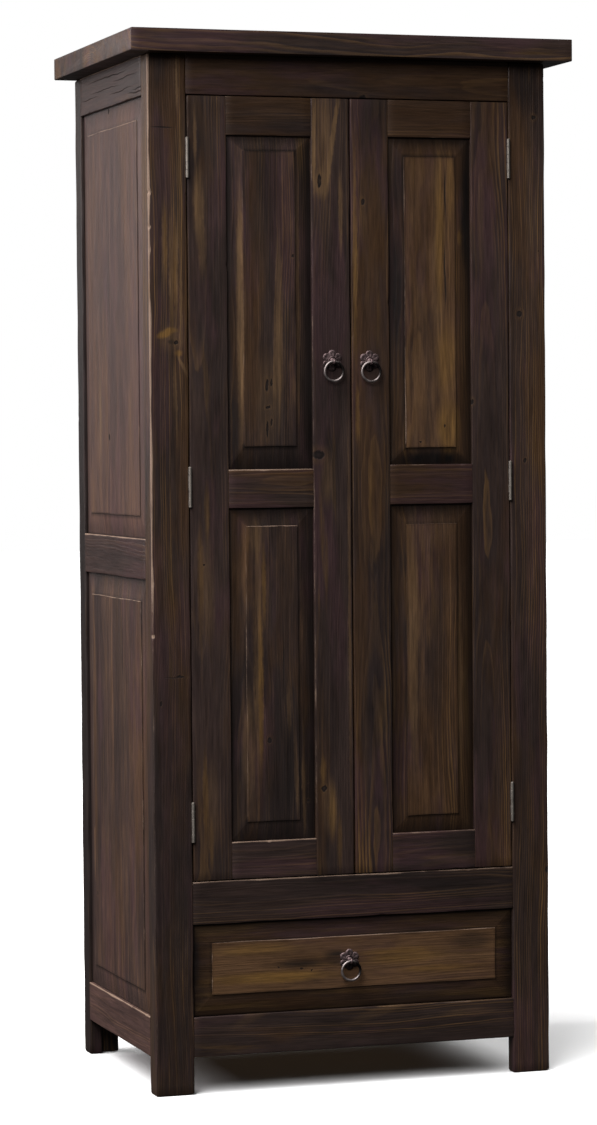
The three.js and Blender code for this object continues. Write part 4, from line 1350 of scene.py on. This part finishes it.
def add_pull_ring(node, x, y, z):
    """The ring, a little out of round, thin at its top, with painted shade darkest at its upper
    right.
    """
    rng = seeded(node)
    turn = circle(72)
    radius = RING_RADIUS + 0.12 * MM * np.sin(3 * turn + rng.uniform(0, 6))
    down = z - RING_RADIUS + radius * np.cos(turn)
    path = np.stack([x + radius * np.sin(turn), np.full_like(turn, y), down], axis=1)
    thin = 1 - 0.1 * np.exp(-((np.minimum(turn, 2 * math.pi - turn) / 0.3) ** 2))
    radii = RING_WIRE * np.stack([thin, np.ones_like(turn)], axis=1)
    # Painted shade on the upper right, the side turned away from the lamps.
    painted_shade = 1 - 0.93 * np.exp(-(((turn - 1.18) / 0.95) ** 4))
    shell = Shell()
    swept(shell, path, (0, 1, 0), radii, 18, closed=True, shades=painted_shade)
    piece(f"{node}_metal", shell, BODY_OF_NODE[node], "pull_bronze", replaces=[node])


def add_pull(name, body):
    """A rosette with its eye, shank and nut, and the ring that hangs from it."""
    node, ring_node = f"{name}_pull_rosette", f"{name}_pull_ring"
    ring_lo, ring_hi = box_of(ring_node)
    x, eye_y, _ = (ring_lo + ring_hi) / 2
    z = box_of(node)[1][Z] - PETAL_REACH - PETAL_RADIUS
    y, eye_z = eye_y + EYE_OUT, z - EYE_DROP
    shell = Shell()
    add_rosette(shell, x, y, z)
    eye = [(x, eye_y + EYE_RADIUS * math.cos(turn), eye_z + EYE_RADIUS * math.sin(turn))
           for turn in circle(28)]
    swept(shell, eye, (1, 0, 0), EYE_BAR, closed=True)
    arm = [(x, y - 3 * MM, z - 1 * MM), (x, y - 5.2 * MM, z - 1.4 * MM),
           (x, eye_y + EYE_RADIUS, eye_z)]
    swept(shell, arm, (1, 0, 0), ARM_RADII)
    length = DOOR_THICKNESS + 1.2 * MM
    shank = [(2.5 * MM, 0.0), (2.5 * MM, length + 2.2 * MM), (2.0 * MM, length + 2.9 * MM)]
    turned(shell, shank, (x, y, z), Y, 1, 20)
    turned(shell, WASHER, (x, y + DOOR_THICKNESS, z), Y, 1, 32)
    turned(shell, NUT, (x, y + DOOR_THICKNESS, z), Y, 1, 6)
    piece(f"{node}_metal", shell, body, "pull_bronze", METALS["cast_bronze"], replaces=[node])
    add_pull_ring(ring_node, x, eye_y, eye_z)


# ------------------------------------------------------------------ doors and drawer
SIDE_BEVEL = 32 * MM


def door_frame(door, pieces):
    """Two stiles the door's full height, with three rails between them."""
    for part, own in pieces.items():
        if part.endswith("stile"):
            board(f"{door}_{part}", Z, chips=6, end=1.2 * MM, **own)
        else:
            board(f"{door}_{part}", X, trim=TENON, chips=2, end=RAIL_END, **own)


def door_opening(door):
    """What the stiles leave open, across the door."""
    left, right = sorted((box_of(f"{door}_hinge_stile"), box_of(f"{door}_meeting_stile")),
                         key=lambda box: box[0][X])
    return left[1][X], right[0][X]


def door_panel(door, level, bevels, looks, **shape):
    node = f"{door}_{level}_panel"
    below, above = ("bottom", "middle") if level == "lower" else ("middle", "top")
    v = box_of(f"{door}_{below}_rail")[1][Z], box_of(f"{door}_{above}_rail")[0][Z]
    raised_panel(node, front_place, door_opening(door), v, bevels, Z, looks, **shape)


def add_left_door():
    door_frame("left_door", {
        "hinge_stile": {"worn": (0.3, 0.3, 0.1, 0.1), "looks": {
            "warm": 0.5, "rings": 0.55,
            "knots": [(-293, 991, 2, 3)],
            "clouds": [(-297, 1661, 12, 78, 1.0), (-291, 1580, 8, 60, 0.6),
                       (-303, 1790, 4, 60, 0.7), (-285, 940, 14, 110, 0.4),
                       (-280, 540, 15, 90, 0.4), (-262, 1250, 14, 260, -0.4)],
            "tints": [(-300, 960, 7, 110, 0.5), (-286, 1090, 6, 60, 0.4),
                      (-294, 560, 6, 90, 0.5), (-283, 470, 5, 60, 0.4)],
        }},
        "meeting_stile": {"worn": (0.58, 0.15, 0.1, 0.1), "arris": 1.6 * MM, "looks": {
            "warm": 0.25, "rings": 0.45,
            "knots": [(-66, 1194, 13, 10), (-60, 1708, 4.5, 14), (-60, 565, 6, 6)],
            "clouds": [(-71, 1777, 4.5, 100, 1.7), (-35, 1777, 5.5, 102, 1.7, 0.15),
                       (-53, 1785, 22, 105, 0.6), (-19, 1650, 5, 85, 0.9),
                       (-56, 1702, 17, 30, 1.0), (-7, 900, 3.5, 420, 0.6),
                       (-50, 530, 18, 60, 0.45), (-40, 1330, 34, 260, -0.6),
                       (-40, 850, 34, 230, -0.35), (-50, 1150, 14, 60, 0.35)],
            "tints": [(-44, 520, 9, 60, 0.5), (-62, 600, 7, 30, 0.5), (-30, 460, 6, 60, 0.4)],
        }},
        "top_rail": {"looks": {"warm": 0.7, "rings": 0.2, "gold": 0.1}, "shade": 0.78},
        "middle_rail": {"looks": {"warm": 0.7, "rings": 0.5}, "worn": (0.2, 0.1, 0.1, 0.82)},
        "bottom_rail": {"looks": {"warm": 0.2, "rings": 0.45}, "worn": (0.2, 0.1, 0.1, 0.82),
                        "uneven": 1.0},
    })
    door_panel(
        "left_door", "upper", (43 * MM, SIDE_BEVEL, 28 * MM, SIDE_BEVEL), {
            "warm": 0.35, "gold": 0.35, "rings": 0.5,
            "knots": [(-166, 1325, 3, 12), (-157, 1331, 2, 8), (-164, 1284, 5, 3),
                      (-166, 1243, 2.5, 17), (-158, 1256, 2, 7), (-113.6, 1566, 2.5, 4)],
            "clouds": [(-142, 1450, 9, 200, 0.7), (-104, 1510, 5, 270, 0.75),
                       (-165, 1650, 34, 170, -0.75), (-216.6, 1457, 8, 250, 1.2),
                       (-163, 1300, 28, 100, 0.4), (-150, 1350, 4, 60, 0.5)],
        },
        glow=(0.25, 0.45), worn=(0.2, 0.2, 0.2, 0.55), bevel_rub=(0.1, 0.35, 0.15, 0.5),
        step_shade=(0.2, 0.4, 0.2, 1.2), foot_shade=(0.2, 0.12, 0.6, 0.4),
        bevel_shade=(0.8, 0.9, 0.95, 1.25))
    door_panel(
        "left_door", "lower", (36 * MM, SIDE_BEVEL, 34 * MM, SIDE_BEVEL), {
            "warm": 0.4, "gold": 0.3, "rings": 0.35,
            "knots": [(-166, 660, 5, 6), (-90, 543, 3, 3)],
            "cracks": [(-138, 795, 1.2, 90)],
            "tints": [(-183, 760, 6, 170, 0.9), (-176, 950, 5, 90, 0.5), (-128, 610, 14, 90, -0.6)],
            "clouds": [(-189, 830, 9, 230, 0.8), (-192, 1040, 14, 40, 0.6),
                       (-208, 650, 14, 120, 0.6), (-114, 590, 5, 90, 0.6, -0.03),
                       (-99, 560, 5, 90, 0.9, -0.02), (-128, 720, 5, 60, 0.5),
                       (-153, 600, 26, 105, -1.1), (-140, 930, 30, 130, -0.4)],
        },
        glow=(0.4, 0.25), worn=(0.2, 0.2, 0.8, 0.68), bevel_rub=(0.3, 0.3, 0.1, 0.55),
        step_shade=(0.5, 0.4, 0.8, 0.9), foot_shade=(0.35, 0.2, 0.25, 0.35),
        bevel_shade=(0.95, 0.9, 0.85, 1.15))


def add_right_door():
    door_frame("right_door", {
        "meeting_stile": {"worn": (0.15, 0.3, 0.1, 0.1), "arris": 1.6 * MM, "looks": {
            "warm": 0.35, "rings": 1.0,
            "knots": [(26, 1670, 4, 6)],
            "clouds": [(10, 1535, 5, 65, 0.8), (24, 1640, 9, 50, 0.35), (30, 900, 40, 400, -0.35)],
            "tints": [(9, 1590, 5, 230, 0.7), (12, 1270, 5, 60, 0.8)],
        }},
        "hinge_stile": {"worn": (0.3, 0.35, 0.1, 0.1), "looks": {
            "warm": 0.42, "rings": 0.8,
            "clouds": [(280, 800, 50, 350, -0.45), (262, 1650, 8, 120, 0.3)],
        }},
        "top_rail": {"looks": {"warm": 0.7, "rings": 0.2, "gold": 0.1}, "shade": 0.8},
        "middle_rail": {"looks": {"warm": 0.6, "rings": 0.8}, "worn": (0.2, 0.1, 0.1, 0.5),
                        "shade": 0.75},
        "bottom_rail": {"looks": {"warm": 0.1, "rings": 0.4}, "worn": (0.2, 0.1, 0.1, 0.6),
                        "shade": 0.95},
    })
    door_panel(
        "right_door", "upper", (32 * MM, SIDE_BEVEL, 36 * MM, SIDE_BEVEL), {
            "warm": 0.7, "gold": 0.4, "rings": 0.75,
            "knots": [(139, 1217, 2.6, 2.6), (188, 1247, 2, 3)],
            "cracks": [(191.5, 1690, 1.9, 66), (190.5, 1530, 2.2, 75)],
            "clouds": [(176, 1560, 11, 260, 0.5), (152, 1390, 22, 90, -0.3),
                       (188, 1247, 12, 10, -0.7)],
            "tints": [(180, 1610, 10, 160, 0.8), (203, 1700, 10, 75, 0.7), (192, 1370, 24, 80, 0.7),
                      (196, 1245, 26, 60, 1.0), (222, 1604, 8, 16, 0.55),
                      (236, 1650, 15, 160, -1.1), (94, 1500, 15, 130, -1.0),
                      (98, 1700, 13, 60, -0.8), (160, 1184, 70, 15, -1.2)],
        },
        glow=(0.62, 0.9), worn=(0.3, 0.2, 0.3, 0.7), bevel_rub=(0.1, 0.3, 0.45, 0.3),
        step_shade=(0.3, 0.4, 0.25, 0.2), foot_shade=(0.14, 0.08, 0.22, 0.3),
        bevel_shade=(0.6, 1.15, 0.95, 0.85))
    door_panel(
        "right_door", "lower", (32 * MM, SIDE_BEVEL, 38 * MM, SIDE_BEVEL), {
            "warm": 0.6, "gold": 0.45, "rings": 0.6,
            "clouds": [(122, 860, 13, 260, 0.7), (160, 1050, 45, 40, 0.35),
                       (170, 800, 18, 230, -0.6), (216, 720, 7, 230, 0.7)],
        },
        glow=(0.5, 0.35), worn=(0.3, 0.3, 0.45, 0.45), bevel_rub=(0.2, 0.4, 0.15, 0.2),
        step_shade=(0.4, 0.4, 0.6, 0.6), foot_shade=(0.25, 0.15, 0.2, 0.25),
        bevel_shade=(0.8, 0.85, 0.8, 0.85))


def add_doors():
    add_left_door()
    add_right_door()
    for side_name, side in SIDES:
        for level in ("bottom", "middle", "top"):
            add_hinge(side_name, side, level)
        add_pull(f"{side_name}_door", f"{side_name}_door")


def add_drawer():
    lo, hi = box_of("drawer_front")
    raised_panel(
        "drawer_front", front_place, (lo[X], hi[X]), (lo[Z], hi[Z]),
        (38 * MM, 34 * MM, 34 * MM, 34 * MM), X, {
            "warm": 0.9, "gold": 1.0, "rings": 0.6,
            "knots": [(231, -152, 2, 3), (226, -107, 2, 4), (221, -88, 1.8, 2.5)],
            "clouds": [(268, -190, 10, 110, 0.4), (240, 110, 12, 110, 0.4),
                       (250, -318, 60, 13, -1.2), (180, -180, 9, 150, -0.5)],
            "tints": [(212, -165, 13, 140, 1.4), (266, -200, 12, 90, 0.9), (242, 95, 18, 95, 0.9),
                      (212, 170, 9, 90, 0.7), (236, -108, 11, 55, -0.8), (243, -38, 17, 30, -0.9),
                      (262, 232, 20, 48, -0.7), (286, 150, 6, 70, -0.5)],
        },
        glow=(1.1, 0.75), worn=(0.3, 0.35, 0.76, 0.62), tongue=0.0, back=DOOR_THICKNESS,
        foot_shade=(0.4, 0.12, 0.4, 0.3), bevel_shade=(1.0, 0.8, 0.78, 0.7),
        bevel_rub=(0.35, 0.1, 0.12, 0.1), step_shade=(0.5,) * 4)
    for side_name, _ in SIDES:
        board(f"drawer_{side_name}_side", Y, worn=0.2)
    board("drawer_back", X, worn=0.2)
    board("drawer_bottom", X, {"staves": 0.12}, worn=0.1)
    add_pull("drawer", "drawer")


# ------------------------------------------------------------------ rod and catches
ROD_SOCKET = mm((26, 0), (26, 1.5), (25, 2.3), (19, 2.6), (17.5, 3.2), (17, 4.6), (16.4, 5),
                (14.2, 5))
SOCKET_SCREWS = 21.5 * MM  # from the rod's middle


def add_rod():
    """The clothes rod, with a flanged socket and three screws at each end."""
    node = "hanging_rod"
    lo, hi = box_of(node)
    _, y, z = (lo + hi) / 2
    reach = hi[X]
    shell = Shell()
    turned(shell, [(14 * MM, 0.0), (14 * MM, 2 * reach)], (-reach, y, z), X, 1, 40)
    for way in (-1, 1):
        turned(shell, ROD_SOCKET, (way * reach, y, z), X, -way, 48)
        for k in range(3):
            angle = math.pi / 2 + k * 2 * math.pi / 3
            spot = (way * (reach - 2.5 * MM), y + SOCKET_SCREWS * math.cos(angle),
                    z + SOCKET_SCREWS * math.sin(angle))
            slotted_screw(shell, spot, X, -way, 2.4 * MM, angle)
    piece("hanging_rod_metal", shell, "carcass", "rod_steel", replaces=[node])


def add_catches():
    """A magnetic catch for each door: a block behind the upper rail, a strike on the door."""
    rail_lo, rail_hi = box_of("upper_front_rail")
    bottom, back = rail_lo[Z], rail_hi[Y] + 0.3 * MM
    for side_name, side in SIDES:
        rng = seeded(f"{side_name}_catch")
        x = side * 70 * MM
        door_back = box_of(f"{side_name}_door_top_rail")[1][Y]
        magnet = Shell()
        plate(magnet, (x - 23 * MM, back, bottom - 15 * MM),
              (x + 23 * MM, back + 13 * MM, bottom + 12 * MM), X, rng, arris=1.2 * MM)
        for pole in (-4, 1):  # the two steel pole pieces either side of the magnet
            plate(magnet, (x - 15 * MM, door_back + 1.3 * MM, bottom + (pole - 7) * MM),
                  (x + 15 * MM, back + 6 * MM, bottom + (pole - 5) * MM), X, rng)
        for offset in (-18, 18):
            spot = x + offset * MM, back + 13 * MM, bottom + 5 * MM
            slotted_screw(magnet, spot, Y, 1, 2.4 * MM, rng.uniform(0, 3))
        piece(f"{side_name}_catch_magnet", magnet, "carcass", "hinge_steel")
        strike = Shell()
        z = bottom - 9 * MM
        plate(strike, (x - 19 * MM, door_back - 0.1 * MM, z - 5 * MM),
              (x + 19 * MM, door_back + 1 * MM, z + 5 * MM), X, rng)
        for offset in (-16.5, 16.5):
            spot = x + offset * MM, door_back + 1 * MM, z
            slotted_screw(strike, spot, Y, 1, 1.9 * MM, rng.uniform(0, 3))
        piece(f"{side_name}_catch_strike", strike, f"{side_name}_door", "hinge_steel")


add_camera()
add_studio()
add_posts()
add_front_rails()
add_side_rails()
add_side_panels()
add_top_board()
add_back()
add_interior()
add_rod()
add_doors()
add_catches()
add_drawer()
